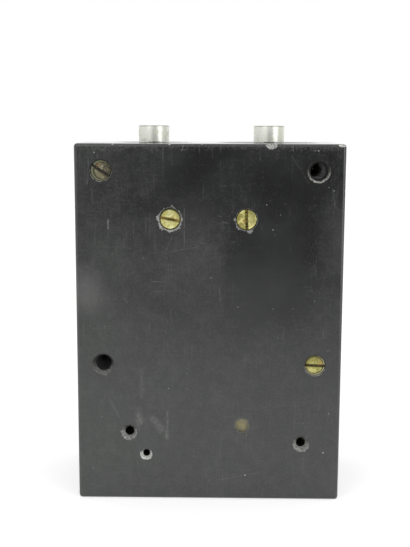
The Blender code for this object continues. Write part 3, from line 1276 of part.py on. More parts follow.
def make_contact_stud():
    """A plain brass stud, flush with the back face, with a nut that clamps the right contact strip."""
    nut_back = BACK_INSIDE + SEAT_GAP + CONTACT_THICKNESS + SEAT_GAP
    end = nut_back + CONTACT_NUT_HEIGHT + STUD_PAST_NUT / 2
    face = BACK + SCREW_SUNK
    shape = bmesh.new()
    rod(shape, CONTACT_STUD_RADIUS, (CONTACT_STUD_X, face, CONTACT_STUD_HEIGHT), "Y", end - face)
    add_piece("contact_stud", shape, "dull_brass")
    hex_nut("contact_nut", (CONTACT_STUD_X, CONTACT_STUD_HEIGHT), "Y", nut_back, CONTACT_NUT_FLATS,
            CONTACT_NUT_HEIGHT, CONTACT_STUD_RADIUS + HOLE_GAP, "dull_brass")


def make_resistor():
    seat = PARTITION_TOP + SEAT_GAP
    top = seat + SPOOL_HEIGHT
    profile = [(0, seat - SPOOL_SPIGOT), (SPOOL_SPIGOT_RADIUS, seat - SPOOL_SPIGOT),
               (SPOOL_SPIGOT_RADIUS, seat), (SPOOL_RADIUS, seat), (SPOOL_RADIUS, seat + SPOOL_FLANGE),
               (SPOOL_CORE_RADIUS, seat + SPOOL_FLANGE), (SPOOL_CORE_RADIUS, top - SPOOL_FLANGE),
               (SPOOL_RADIUS, top - SPOOL_FLANGE), (SPOOL_RADIUS, top), (0, top)]
    shape = bmesh.new()
    turned(shape, profile, (SPOOL_X, SPOOL_DEPTH, 0), "Z", SMALL_STEPS)
    add_piece("resistor_spool", shape, "red_fibre")
    inner = SPOOL_CORE_RADIUS + GLUE_GAP
    low = seat + SPOOL_FLANGE + GLUE_GAP
    high = top - SPOOL_FLANGE - GLUE_GAP
    shape = bmesh.new()
    turned(shape, [(inner, low), (SPOOL_WINDING_RADIUS, low), (SPOOL_WINDING_RADIUS, high), (inner, high)],
           (SPOOL_X, SPOOL_DEPTH, 0), "Z", SMALL_STEPS, closed=True)
    add_piece("resistor_winding", shape, "copper_wire")


def lead_hole_places():
    """The two holes through the partition that the leads to the cell pass."""
    depth = BACK_INSIDE + LEAD_HOLE_SETBACK
    return [(-LEAD_HOLE_X, depth), (LEAD_HOLE_X, depth)]


# Internal leads

def smooth_route(points):
    """Points a lead's spacing apart on one smooth curve through the route's own points."""
    points = [Vector(point) for point in points]
    padded = [2 * points[0] - points[1]] + points + [2 * points[-1] - points[-2]]
    route = []
    for before, start, end, after in zip(padded, padded[1:], padded[2:], padded[3:]):
        count = max(1, round((end - start).length / LEAD_SPACING))
        for step in range(count):
            share = step / count
            route.append(0.5 * (2 * start + (end - before) * share
                                + (2 * before - 5 * start + 4 * end - after) * share ** 2
                                + (3 * start - before - 3 * end + after) * share ** 3))
    return route + [points[-1]]


def make_lead(name, points):
    curve = bpy.data.curves.new(name, "CURVE")
    curve.dimensions = "3D"
    curve.bevel_depth = LEAD_RADIUS
    curve.bevel_resolution = LEAD_RESOLUTION
    curve.use_fill_caps = True
    route = smooth_route(points)
    spline = curve.splines.new("POLY")
    spline.points.add(len(route) - 1)
    for point, place in zip(spline.points, route):
        point.co = (*place, 1.0)
    lead = bpy.data.objects.new(name, curve)
    bpy.context.collection.objects.link(lead)
    curve.materials.append(finish_material("lead_cover"))


def contact_leg_end(contact, side):
    """The seat of a lead on the upper edge of a contact strip's leg, above the cell's back."""
    leg, touch, low, high = contact
    share = LEAD_BEND / CONTACT_REACH
    middle = leg - leg_bow(leg, touch, share) - side * CONTACT_THICKNESS / 2
    return middle, BACK_INSIDE + SEAT_GAP + LEAD_BEND, high + SEAT_GAP


def make_leads():
    bend = LEAD_BEND
    under_lug = LUG_BOTTOM - SEAT_GAP - LEAD_RADIUS
    base_top = COIL_HEIGHT + BASE_TOP_RISE
    base_low = COIL_HEIGHT - MAGNET_LEG_BELOW
    spool_middle = PARTITION_TOP + SEAT_GAP + SPOOL_HEIGHT / 2
    winding = SPOOL_WINDING_RADIUS + SEAT_GAP
    left_hole, right_hole = lead_hole_places()
    tail = POST_LEFT_X + LUG_TAIL
    make_lead("lead_post_left", [
        (tail - bend, CASE_MIDDLE, under_lug),
        (tail, CASE_MIDDLE, under_lug),
        (tail + bend, CASE_MIDDLE - bend, under_lug),
        (tail + bend, BASE_MIDDLE + bend / 2, under_lug - bend),
        (tail + bend, BASE_MIDDLE, base_top + bend),
        (tail + bend, BASE_MIDDLE, base_top + SEAT_GAP)])
    start = -BASE_WIDTH / 2 + 2 * bend
    make_lead("lead_movement", [
        (start, BASE_MIDDLE, base_low - SEAT_GAP),
        (start, BASE_MIDDLE, base_low - bend),
        (start, (BASE_MIDDLE + SPOOL_DEPTH) / 2, spool_middle + bend / 2),
        (SPOOL_X + winding + bend / 2, SPOOL_DEPTH, spool_middle),
        (SPOOL_X + winding, SPOOL_DEPTH, spool_middle)])
    end = contact_leg_end(left_contact(), -1)
    make_lead("lead_cell_left", [
        (SPOOL_X - winding, SPOOL_DEPTH, spool_middle),
        (SPOOL_X - winding - bend / 2, SPOOL_DEPTH, spool_middle),
        (left_hole[0] - bend / 4, (SPOOL_DEPTH + left_hole[1]) / 2, spool_middle - bend / 4),
        (left_hole[0], left_hole[1], PARTITION_TOP + bend / 2),
        (left_hole[0], left_hole[1], PARTITION_BOTTOM - bend / 2),
        (end[0], end[1], PARTITION_BOTTOM - 2 * bend),
        end])
    end = contact_leg_end(right_contact(), 1)
    tail = POST_RIGHT_X - LUG_TAIL
    down_x = right_hole[0]
    down_y = BACK_INSIDE + SEAT_GAP + 2 * LEAD_RADIUS
    make_lead("lead_cell_right", [
        (tail + bend, CASE_MIDDLE, under_lug),
        (tail, CASE_MIDDLE - LEAD_RADIUS, under_lug),
        (tail, CASE_MIDDLE - 2 * bend, under_lug),
        (POST_RIGHT_X, down_y + bend, under_lug - bend / 2),
        (down_x, down_y, under_lug - 3 * bend),
        (down_x, down_y, MOVEMENT_SCREW_HEIGHT),
        (down_x, down_y, COIL_HEIGHT),
        (down_x, down_y, CORNER_LOW + 2 * bend),
        (down_x, right_hole[1], PARTITION_TOP + bend / 2),
        (down_x, right_hole[1], PARTITION_BOTTOM - bend / 2),
        (end[0], end[1], end[2] + bend),
        end])


def build():
    clear_scene()
    make_case()
    make_front_panel()
    make_battery_cover()
    make_window()
    make_case_screws()
    make_inserts()
    make_post("left", POST_LEFT_X)
    make_post("right", POST_RIGHT_X)
    make_base()
    make_magnet()
    make_poles()
    make_core()
    make_bridges()
    make_jewels()
    make_dial()
    needle_axis = axis_at("needle_axis", (0, 0, COIL_HEIGHT), REST_ANGLE)
    make_coil(needle_axis)
    make_arbors(needle_axis)
    make_hairsprings(needle_axis)
    make_pointer(needle_axis)
    make_zero_arm(axis_at("zero_arm_axis", (0, 0, COIL_HEIGHT)))
    make_zero_screw(axis_at("zero_screw_axis", (0, 0, ZERO_SCREW_HEIGHT)))
    make_cell()
    make_contacts()
    make_contact_stud()
    make_resistor()
    make_leads()


build()
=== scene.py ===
# %% [markdown]
# # A blasting galvanometer, standing with its back to the camera
#
# The instrument is a black hard rubber block with two plain contact posts on top. The camera sees
# the back of the case: four brass screws, two screw holes that have lost theirs, three small holes
# and the worn end of a brass stud. The dial is on the far side.
#
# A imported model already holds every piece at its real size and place. This script is the dresser:
# it loads that frame, models the visible pieces again with finer edges and real wear, and gives
# each one a procedural finish. All lengths are metres.

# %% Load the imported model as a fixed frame
import json
import math

import bmesh
import bpy
from mathutils import Matrix, Vector


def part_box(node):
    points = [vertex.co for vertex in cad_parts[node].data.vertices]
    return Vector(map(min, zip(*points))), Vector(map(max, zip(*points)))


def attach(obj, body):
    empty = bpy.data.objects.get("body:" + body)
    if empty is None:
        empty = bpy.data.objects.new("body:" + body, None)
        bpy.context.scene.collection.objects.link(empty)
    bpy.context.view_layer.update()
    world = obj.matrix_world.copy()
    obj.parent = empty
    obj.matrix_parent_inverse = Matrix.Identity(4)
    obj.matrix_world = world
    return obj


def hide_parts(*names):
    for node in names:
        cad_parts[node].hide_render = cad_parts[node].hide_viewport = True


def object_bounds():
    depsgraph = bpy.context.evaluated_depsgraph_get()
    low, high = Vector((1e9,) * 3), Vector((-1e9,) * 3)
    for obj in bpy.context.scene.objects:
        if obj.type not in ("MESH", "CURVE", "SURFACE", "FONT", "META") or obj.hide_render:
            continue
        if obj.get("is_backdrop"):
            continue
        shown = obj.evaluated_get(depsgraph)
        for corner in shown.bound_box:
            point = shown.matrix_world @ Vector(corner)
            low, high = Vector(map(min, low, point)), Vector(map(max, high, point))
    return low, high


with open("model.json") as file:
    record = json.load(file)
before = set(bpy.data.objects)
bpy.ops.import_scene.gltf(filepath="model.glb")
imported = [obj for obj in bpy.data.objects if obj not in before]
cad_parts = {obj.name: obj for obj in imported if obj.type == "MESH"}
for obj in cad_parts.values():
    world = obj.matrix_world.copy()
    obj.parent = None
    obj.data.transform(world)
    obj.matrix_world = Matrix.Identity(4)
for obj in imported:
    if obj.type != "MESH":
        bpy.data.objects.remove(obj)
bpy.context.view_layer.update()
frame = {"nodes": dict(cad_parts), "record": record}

MM = 0.001
print("pieces in the frame:", len(frame["nodes"]))

# %% [markdown]
# ## Reading places from the frame
#
# Nothing here is placed by eye. A screw is modelled again where the frame's own screw stands, so the
# helpers below read a node's middle and its ends.

# %% Places
def middle(node):
    """The middle of a node's box."""
    low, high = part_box(node)
    return (low + high) / 2


def on_back(across, up):
    """A place across and up the back, in millimetres, as a point."""
    return Vector((across * MM, 0, up * MM))


case_low, case_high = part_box("case_body")
back_face = case_low.y
top_face = case_high.z
SLOT_OF = {part["node"]: part["material_slot"] for part in frame["record"]["subparts"]}
print("back face at y", round(back_face, 5), "and top at z", round(top_face, 5))

# %% [markdown]
# ## Working by hand, in code
#
# Blender's operators act on whatever is selected, and loading the frame leaves every node selected.
# So each step picks exactly the piece that it works on before it runs an operator.

# %% Picking pieces and parts of pieces
def deselect():
    if bpy.context.object and bpy.context.object.mode != "OBJECT":
        bpy.ops.object.mode_set(mode="OBJECT")
    bpy.ops.object.select_all(action="DESELECT")


def pick(*pieces):
    """Select these pieces alone. The last one is active."""
    deselect()
    for piece in pieces:
        piece.select_set(True)
    bpy.context.view_layer.objects.active = pieces[-1]


def open_mesh(piece, kind="FACE"):
    """Go into edit mode with everything selected."""
    pick(piece)
    bpy.ops.object.mode_set(mode="EDIT")
    bpy.ops.mesh.select_mode(type=kind)
    bpy.ops.mesh.select_all(action="SELECT")


def choose(piece, kind, test):
    """In edit mode, select the verts, edges or faces whose middle passes the test."""
    bpy.ops.mesh.select_mode(type=kind)
    bpy.ops.mesh.select_all(action="DESELECT")
    shape = bmesh.from_edit_mesh(piece.data)
    if kind == "VERT":
        found = [vert for vert in shape.verts if test(vert.co)]
    elif kind == "EDGE":
        found = [edge for edge in shape.edges if test((edge.verts[0].co + edge.verts[1].co) / 2)]
    else:
        found = [face for face in shape.faces if test(face.calc_center_median())]
    for part in found:
        part.select_set(True)
    shape.select_flush_mode()
    bmesh.update_edit_mesh(piece.data)
    return len(found)


def close_mesh():
    bpy.ops.object.mode_set(mode="OBJECT")


def apply_modifier(piece, kind, **settings):
    """Add a modifier, set it up and apply it straight away."""
    modifier = piece.modifiers.new(kind.title(), kind)
    for setting, value in settings.items():
        setattr(modifier, setting, value)
    pick(piece)
    bpy.ops.object.modifier_apply(modifier=modifier.name)


# %% [markdown]
# ## Turned pieces
#
# Posts, screws, the window ring and the dial are turned on a lathe. By hand one adds a circle and
# extrudes it again and again, scaling each new ring to the next radius. The helper does just that,
# so a turned piece is told by its profile: pairs of radius and place along the axis.

# %% Turn a piece ring by ring
FACING = {"X": (0, math.pi / 2, 0), "Y": (math.pi / 2, 0, 0), "Z": (0, 0, 0)}


def turned(name, profile, centre, axis="Y", sides=96, hollow=False):
    along = "XYZ".index(axis)

    def on_axis(place):
        point = list(centre)
        point[along] = place
        return point

    if hollow:
        profile = profile + [profile[0]]
    radius, place = profile[0]
    deselect()
    bpy.ops.mesh.primitive_circle_add(vertices=sides, radius=radius, location=on_axis(place),
                                      rotation=FACING[axis], fill_type="NOTHING" if hollow else "NGON")
    piece = bpy.context.object
    piece.name = name
    piece.data.name = name
    open_mesh(piece, "EDGE" if hollow else "FACE")
    for next_radius, next_place in profile[1:]:
        shift = [0.0, 0.0, 0.0]
        shift[along] = next_place - place
        scale = [next_radius / radius] * 3
        scale[along] = 1.0
        move = {"value": shift, "orient_type": "GLOBAL"}
        if hollow:
            bpy.ops.mesh.extrude_edges_move(TRANSFORM_OT_translate=move)
        else:
            bpy.ops.mesh.extrude_region_move(TRANSFORM_OT_translate=move)
        bpy.ops.transform.resize(value=scale, center_override=on_axis(next_place))
        radius, place = next_radius, next_place
    bpy.ops.mesh.select_all(action="SELECT")
    bpy.ops.mesh.remove_doubles(threshold=0.002 * MM)
    bpy.ops.mesh.normals_make_consistent(inside=False)
    close_mesh()
    bpy.ops.object.transform_apply()
    return piece


# %% [markdown]
# ## Cutting and finishing
#
# A slot or a chip is cut with a Boolean modifier. With the material mode on transfer, the cut faces
# take the cutter's own material, so a chip shows the pale broken rubber and the rest stays dark.

# %% Carve, soften and seat a finished piece
SMOOTH_BELOW = 32


def carve(piece, cutter):
    """Cut the cutter out of the piece and take it away."""
    apply_modifier(piece, "BOOLEAN", operation="DIFFERENCE", object=cutter, solver="EXACT",
                   material_mode="TRANSFER")
    bpy.data.objects.remove(cutter)
    open_mesh(piece, "VERT")
    bpy.ops.mesh.remove_doubles(threshold=0.001 * MM)
    bpy.ops.mesh.dissolve_degenerate(threshold=0.001 * MM)
    close_mesh()


def soften(piece, width, sharper_than=40):
    """Bevel the sharp edges. The width is in millimetres."""
    apply_modifier(piece, "BEVEL", width=width * MM, segments=2, limit_method="ANGLE",
                   angle_limit=math.radians(sharper_than))


def roughened(piece, amount, seed, test=None):
    """Push corners a little at random."""
    open_mesh(piece, "VERT")
    if test:
        choose(piece, "VERT", test)
    bpy.ops.transform.vertex_random(offset=amount, uniform=1.0, normal=0.0, seed=seed)
    close_mesh()


def block(place, size, angle=0.0):
    """A box of a given size, turned about Y, with its place in its mesh."""
    deselect()
    bpy.ops.mesh.primitive_cube_add(size=1.0, location=place, rotation=(0, math.radians(angle), 0))
    box = bpy.context.object
    box.scale = size
    bpy.ops.object.transform_apply()
    return box


def finish_piece(piece, node=None, body="case"):
    """Freeze the place into the mesh, shade it, seat it on its body, and hide the node it stands for."""
    pick(piece)
    bpy.ops.object.transform_apply()
    bpy.ops.object.shade_smooth_by_angle(angle=math.radians(SMOOTH_BELOW))
    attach(piece, body)
    if node:
        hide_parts(node)
    print(piece.name, "has", len(piece.data.polygons), "faces")


def turned_piece(node, name, profile, material, centre, axis="Y", sides=96, hollow=False):
    """A finished turning that stands for one node of the case."""
    piece = turned(name, profile, centre, axis, sides, hollow)
    piece.data.materials.append(material)
    finish_piece(piece, node)


# %% [markdown]
# ## Materials from nodes
#
# Every finish is a small node tree on the object's own coordinates, read in millimetres. A wire is
# one node's output. Sums and products of wires are written as plain arithmetic, and each makes a
# Math node. A wire is linked to a socket, and a plain value is typed in.

# %% Node helpers
def feed(socket, value):
    if isinstance(value, Wire):
        socket.id_data.links.new(value.socket, socket)
    else:
        socket.default_value = (*value, 1.0) if socket.type == "RGBA" else value


def new_node(tree, kind, inputs=(), **settings):
    """Add a node, set it up, and feed the inputs that are told by name or by number."""
    made = tree.nodes.new("ShaderNode" + kind)
    for setting, value in settings.items():
        setattr(made, setting, value)
    for socket, value in dict(inputs).items():
        feed(made.inputs[socket], value)
    return made


def wire(tree, kind, output, inputs=(), **settings):
    return Wire(new_node(tree, kind, inputs, **settings).outputs[output])


class Wire:
    """One node's output, which sums, ramps and mixes can go on from."""

    def __init__(self, socket):
        self.socket = socket
        self.tree = socket.id_data

    def math(self, operation, other=0.0, clamp=False):
        return wire(self.tree, "Math", "Value", {0: self, 1: other}, operation=operation, use_clamp=clamp)

    def __add__(self, other):
        return self.math("ADD", other)

    def __sub__(self, other):
        return self.math("SUBTRACT", other)

    def __mul__(self, other):
        return self.math("MULTIPLY", other)

    def most(self, other):
        return self.math("MAXIMUM", other)

    def vector(self, operation, other=(0.0, 0.0, 0.0), output="Vector"):
        return wire(self.tree, "VectorMath", output, {0: self, 1: other}, operation=operation)

    def length(self):
        return self.vector("LENGTH", output="Value")

    def axis(self, letter):
        return wire(self.tree, "SeparateXYZ", letter, {"Vector": self})

    def noise(self, scale, detail, roughness):
        return wire(self.tree, "TexNoise", "Fac",
                    {"Vector": self, "Scale": scale, "Detail": detail, "Roughness": roughness})

    def ramp(self, low, high, to_low=0.0, to_high=1.0):
        """Map the stretch from low to high softly on to a new stretch, and hold it outside."""
        return wire(self.tree, "MapRange", "Result",
                    {"Value": self, "From Min": low, "From Max": high, "To Min": to_low, "To Max": to_high},
                    interpolation_type="SMOOTHSTEP")

    def blend(self, first, second):
        """A colour that goes from the first to the second as this wire goes from nought to one."""
        made = new_node(self.tree, "Mix", data_type="RGBA")
        shown = [socket for socket in made.inputs if socket.enabled]
        for socket, value in zip(shown, (self, first, second)):
            feed(socket, value)
        return Wire([socket for socket in made.outputs if socket.enabled][0])


def millimetres(tree, scale=(1, 1, 1), turn=0.0, origin=(0, 0, 0)):
    """The object's own coordinates in millimetres, measured from an origin, turned about Y."""
    place = wire(tree, "TexCoord", "Object").vector("SUBTRACT", origin)
    return wire(tree, "Mapping", "Vector", {"Vector": place, "Rotation": (0, turn, 0),
                                            "Scale": [share / MM for share in scale]})


def ray_kinds(tree):
    """Whether a ray looks straight or through glass, and whether it comes off a glossy thing."""
    rays = new_node(tree, "LightPath").outputs
    return Wire(rays["Is Camera Ray"]).most(Wire(rays["Is Transmission Ray"])), Wire(rays["Is Glossy Ray"])


def upward(tree):
    """How far the surface looks up."""
    return wire(tree, "NewGeometry", "Normal").axis("Z")


def darker(colour, share):
    return tuple(share * part for part in colour)


def new_material(name):
    material = bpy.data.materials.new(name)
    material.use_nodes = True
    return material, material.node_tree


def finished(material, colour, roughness, relief=None, depth=0.0, strength=1.0, **looks):
    """Feed the material's shader. The relief is bump, and its depth is in millimetres."""
    shader = material.node_tree.nodes["Principled BSDF"]
    looks.update(Base_Color=colour, Roughness=roughness)
    if relief:
        looks["Normal"] = wire(relief.tree, "Bump", "Normal",
                               {"Height": relief, "Distance": depth * MM, "Strength": strength})
    for name, value in looks.items():
        feed(shader.inputs[name.replace("_", " ")], value)
    return material


# %% [markdown]
# ## The camera
#
# The photograph was taken from just above the top of the case, looking down about nine degrees, so
# the upright edges draw together towards the base. The top face is seen almost edge on.

# %% Camera at the photograph's place
CAMERA_PLACE = (0.00294, -0.33714, 0.12663)
CAMERA_LENS = 62.66
LOOK_DOWN = math.radians(8.803)
LOOK_LEFT = math.radians(0.801)
CAMERA_ROLL = math.radians(0.229)

camera_data = bpy.data.cameras.new("camera")
camera_data.lens = CAMERA_LENS
camera_data.sensor_width = 36.0
camera_data.clip_start = 0.01
camera_data.clip_end = 20.0
camera = bpy.data.objects.new("camera", camera_data)
bpy.context.scene.collection.objects.link(camera)
turn = (Matrix.Rotation(LOOK_LEFT, 4, "Z") @ Matrix.Rotation(math.pi / 2 - LOOK_DOWN, 4, "X")
        @ Matrix.Rotation(CAMERA_ROLL, 4, "Z"))
camera.matrix_world = Matrix.Translation(CAMERA_PLACE) @ turn
bpy.context.scene.camera = camera
print("camera stands", round((Vector(CAMERA_PLACE) - middle("case_body")).length, 3), "m away")

# %% [markdown]
# ## The room
#
# The photograph has a white surround that glossy things mirror. The world is white where the camera
# or a reflection looks at it, apart from a soft dark patch behind the camera, the photographer's
# side of the room, which the posts and the upper part of the case mirror. Light that reaches the
# object without a mirror is plain and even.

# %% World
DARK_PATCH_SIDE = math.radians(14)
DARK_PATCH_RISE = math.radians(6)
DARK_PATCH = (math.sin(DARK_PATCH_SIDE) * math.cos(DARK_PATCH_RISE),
              -math.cos(DARK_PATCH_SIDE) * math.cos(DARK_PATCH_RISE), math.sin(DARK_PATCH_RISE))


def around(nearness, outer, inner):
    """One within the inner angle of a direction, nought beyond the outer one, in degrees."""
    return nearness.ramp(math.cos(math.radians(outer)), math.cos(math.radians(inner)))


world = bpy.data.worlds.new("studio")
bpy.context.scene.world = world
world.use_nodes = True
world.cycles.sampling_method = "NONE"
room = world.node_tree
room.nodes.clear()
direction = wire(room, "TexCoord", "Generated")
level = direction.vector("MULTIPLY", (1.0, 1.0, 1.25)).vector("NORMALIZE")
behind_camera = around(level.vector("DOT_PRODUCT", DARK_PATCH, "Value"), 38, 17)
mirrored = behind_camera.blend((0.95, 0.96, 0.94), (0.085, 0.085, 0.087))
mirrored = around(direction.axis("X"), 38, 14).blend(mirrored, (0.52, 0.55, 0.43))
mirrored = around(direction.axis("Y"), 24, 10).blend(mirrored, (1.10, 1.10, 1.10))
direct, glossy = ray_kinds(room)
colour = direct.blend(glossy.blend((0.80, 0.80, 0.80), mirrored), (1.0, 1.0, 1.0))
background = wire(room, "Background", "Background", {"Color": colour})
new_node(room, "OutputWorld", {"Surface": background})

# %% [markdown]
# ## Lamps
#
# One wide soft lamp stands high on the left, in front of the back face, and gives the case its
# even light and the faint shadow on the right. A second, narrow and bright, stands at the right of
# the camera. The posts mirror it as the white stripe right of their middle.

# %% Lamps
def soft_lamp(name, place, wide, tall, power):
    data = bpy.data.lights.new(name, "AREA")
    data.shape = "RECTANGLE"
    data.size, data.size_y = wide, tall
    data.energy = power
    lamp = bpy.data.objects.new(name, data)
    bpy.context.scene.collection.objects.link(lamp)
    lamp.location = place
    lamp.rotation_euler = (middle("case_body") - Vector(place)).to_track_quat("-Z", "Y").to_euler()


soft_lamp("key_lamp", (-0.75, -0.95, 1.05), 0.7, 0.7, 3.0)
soft_lamp("strip_lamp", (0.70, -0.62, 0.30), 0.56, 0.9, 2.9)
bpy.context.scene.view_settings.view_transform = "Standard"

# %% [markdown]
# ## The floor
#
# The object stands on white paper that the photographer lit until it burnt out. The floor gives the
# camera white light of its own and keeps only a little of the shadow.

# %% Floor
FLOOR_FRONT = 0.42
FLOOR_SIDE = 3.0
PAPER_GLOW = 0.45

deselect()
bpy.ops.mesh.primitive_plane_add(size=1.0, location=(0, (FLOOR_SIDE - FLOOR_FRONT) / 2, 0))
floor = bpy.context.object
floor.name = "floor"
floor.scale = (2 * FLOOR_SIDE, FLOOR_SIDE + FLOOR_FRONT, 1)
bpy.ops.object.transform_apply()
paper, tree = new_material("white_paper")
finished(paper, (0.80, 0.80, 0.80), 0.9, Specular_IOR_Level=0.0)
direct, glossy = ray_kinds(tree)
lit_end = wire(tree, "TexCoord", "Object").axis("Y").ramp(-0.40, -0.10, 0.2, 1.0)
glow = wire(tree, "Emission", "Emission", {
    "Color": (1.0, 1.0, 1.0), "Strength": direct.most(glossy * lit_end) * PAPER_GLOW})
plain = Wire(tree.nodes["Principled BSDF"].outputs["BSDF"])
both = wire(tree, "AddShader", "Shader", {0: plain, 1: glow})
feed(tree.nodes["Material Output"].inputs["Surface"], both)
floor.data.materials.append(paper)
floor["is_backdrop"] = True

# %% [markdown]
# ## Hard rubber
#
# The case is ebonite, a hard black rubber that takes a satin polish and fades to a warm grey. It is
# not one flat black: it has a cloudy, uneven fade, thin rubbed hairlines both ways, pale specks of
# dust in its pores, and edges rubbed lighter by use. It is also paler low down and to the left,
# partly from its fade and partly as a painted reflection of the white floor and surround. Long
# scratches and smears that can be pointed at in the photograph are placed one by one: each is a
# stroke between two points on the back face.

# %% A stroke between two points, as a node group
def stroke_group():
    """Masks a thin stroke on the back face. The points are in millimetres, across and up.

    It clamps with a minimum and a maximum: a clamp setting would be worked out after all the
    strokes, and the renderer has no room to keep so many values waiting.
    """
    group = bpy.data.node_groups.new("stroke", "ShaderNodeTree")
    for name, kind in (("Place", "Vector"), ("Start", "Vector"), ("Reach", "Vector"), ("Width", "Float"),
                       ("Strength", "Float")):
        group.interface.new_socket(name, in_out="INPUT", socket_type="NodeSocket" + kind)
    group.interface.new_socket("Mask", in_out="OUTPUT", socket_type="NodeSocketFloat")
    given = group.nodes.new("NodeGroupInput").outputs
    reach = Wire(given["Reach"])
    from_start = Wire(given["Place"]).vector("SUBTRACT", Wire(given["Start"]))
    full = reach.vector("DOT_PRODUCT", reach, "Value")
    share = from_start.vector("DOT_PRODUCT", reach, "Value").math("DIVIDE", full)
    share = share.most(0.0).math("MINIMUM", 1.0)
    nearest = wire(group, "VectorMath", "Vector", {0: reach, "Scale": share}, operation="SCALE")
    edge = wire(group, "MapRange", "Result", {
        "Value": from_start.vector("DISTANCE", nearest, "Value"), "From Max": Wire(given["Width"]),
        "To Min": 1.0, "To Max": 0.0}, interpolation_type="SMOOTHSTEP", clamp=False)
    feed(group.nodes.new("NodeGroupOutput").inputs["Mask"], edge * Wire(given["Strength"]))
    return group


def strokes(place, marks):
    """The strongest of the strokes at each place."""
    group = bpy.data.node_groups.get("stroke") or stroke_group()
    total = None
    for start_x, start_z, end_x, end_z, width, strength in marks:
        mask = wire(place.tree, "Group", "Mask", {
            "Place": place, "Start": (start_x, 0, start_z), "Reach": (end_x - start_x, 0, end_z - start_z),
            "Width": width, "Strength": strength}, node_tree=group)
        total = total.most(mask) if total else mask
    return total


# %% [markdown]
# The tables below are the marks that can be pointed at. A stroke has its two ends, a speck its
# middle, and a soft patch is wide and faint: it makes the rubber paler where its strength is above
# nought, and darker where it is below.

# %% Strokes and smears on the back face
# Start across and up, end across and up, width and strength, all lengths in millimetres
STROKES = [
    (26.7, 117.1, 32.4, 108.1, 0.26, 0.09), (28.3, 116.2, 33.7, 107.5, 0.24, 0.05),
    (41.8, 107.5, 40.8, 98.3, 0.3, 0.06), (27.0, 120.4, 27.1, 118.7, 0.26, 0.3),
    (-8.3, 100.0, -8.3, 87.2, 0.24, 0.16), (-15.2, 119.9, -15.3, 110.1, 0.24, 0.13),
    (-33.5, 96.0, -33.4, 93.0, 0.42, 0.34), (-40.2, 109.4, -40.1, 107.7, 0.28, 0.22),
    (-36.6, 117.5, -36.6, 116.5, 0.32, 0.34), (-8.6, 120.5, -9.2, 118.6, 0.24, 0.3),
    (3.3, 6.8, 18.0, 9.8, 0.26, 0.11), (39.5, 52.3, 41.2, 52.7, 0.32, 0.2),
    (-22.8, 45.3, -22.6, 35.9, 1.1, 0.07), (-22.8, 40.5, -22.8, 38.0, 0.7, 0.07),
    (-23.8, 31.7, -23.8, 25.7, 1.5, 0.12), (-23.6, 29.4, -23.4, 27.2, 2.1, 0.24),
    (-19.1, 28.4, -17.6, 27.0, 1.9, 0.17), (-17.4, 26.4, -16.0, 24.6, 2.2, 0.15),
    (-21.2, 28.9, -21.2, 25.4, 0.7, 0.08), (-24.2, 26.4, -23.6, 24.5, 0.8, 0.13),
    (-14.0, 31.1, -14.0, 21.2, 0.7, 0.15), (-14.2, 24.4, -14.2, 21.6, 1.1, 0.19),
    (-33.4, 34.8, -30.4, 28.8, 0.8, 0.09), (-33.6, 34.8, -32.8, 34.1, 0.9, 0.08),
    (-12.3, 90.3, -14.8, 85.2, 0.26, 0.13), (-12.3, 85.6, -3.4, 87.4, 0.24, 0.12),
    (-19.1, 75.6, -15.7, 75.4, 0.24, 0.2), (-18.7, 72.2, -8.0, 72.6, 0.24, 0.08),
    (3.4, 73.3, 3.7, 69.0, 0.28, 0.12), (-28.4, 70.1, -27.4, 68.4, 0.24, 0.16),
    (-12.7, 66.3, -12.6, 62.0, 0.24, 0.12), (4.4, 95.5, 6.2, 95.0, 0.3, 0.2),
    (2.8, 97.5, 4.1, 97.3, 0.3, 0.12), (16.3, 119.7, 16.3, 115.2, 0.24, 0.1),
    (-3.5, 120.2, -3.2, 117.3, 0.26, 0.14), (0.7, 119.9, 0.9, 116.4, 0.24, 0.1),
    (39.5, 109.4, 41.0, 101.3, 0.3, 0.09), (38.0, 59.5, 38.3, 56.8, 0.24, 0.12),
    (-7.7, 87.5, -1.5, 88.5, 0.24, 0.07), (12.1, 86.6, 17.3, 87.3, 0.24, 0.07),
    (-19.6, 98.0, -19.9, 90.1, 0.24, 0.07), (21.9, 91.0, 22.4, 82.3, 0.24, 0.07),
    (-30.2, 87.4, -25.9, 86.4, 0.24, 0.07), (-1.1, 10.3, -0.8, 8.2, 0.3, 0.1),
]
# Specks: across and up, reach and strength
SPECKS = [
    (-13.5, 39.0, 0.35, 0.57), (-7.3, 44.2, 0.30, 0.34), (-36.2, 28.9, 0.33, 0.27),
    (-39.5, 10.8, 0.33, 0.27), (0.2, 6.7, 0.30, 0.27), (12.6, 8.6, 0.42, 1.0),
    (39.0, 16.8, 0.42, 1.0), (40.7, 30.6, 0.33, 0.51), (15.9, 46.7, 0.35, 0.17),
    (23.1, 56.7, 0.35, 0.20), (18.7, 101.2, 0.35, 0.54), (23.3, 97.9, 0.35, 0.27),
    (20.9, 93.0, 0.42, 0.51), (21.6, 91.3, 0.35, 0.23),
    (35.3, 118.8, 0.37, 0.71), (34.1, 118.8, 0.30, 0.34), (40.6, 105.9, 0.35, 0.44),
    (38.9, 107.0, 0.35, 0.30), (-37.7, 118.0, 0.35, 0.68), (0.6, 76.9, 0.33, 0.51),
    (9.6, 67.1, 0.35, 0.37), (21.3, 66.5, 0.33, 0.37), (27.8, 66.6, 0.30, 0.34),
    (35.0, 69.3, 0.30, 0.40), (-21.9, 83.4, 0.30, 0.34), (-35.0, 60.2, 0.30, 0.23),
    (7.7, 52.5, 0.30, 0.20), (-7.2, 39.0, 0.33, 0.27), (-33.2, 95.8, 0.35, 0.34),
    (-14.7, 58.8, 0.30, 0.17),
]
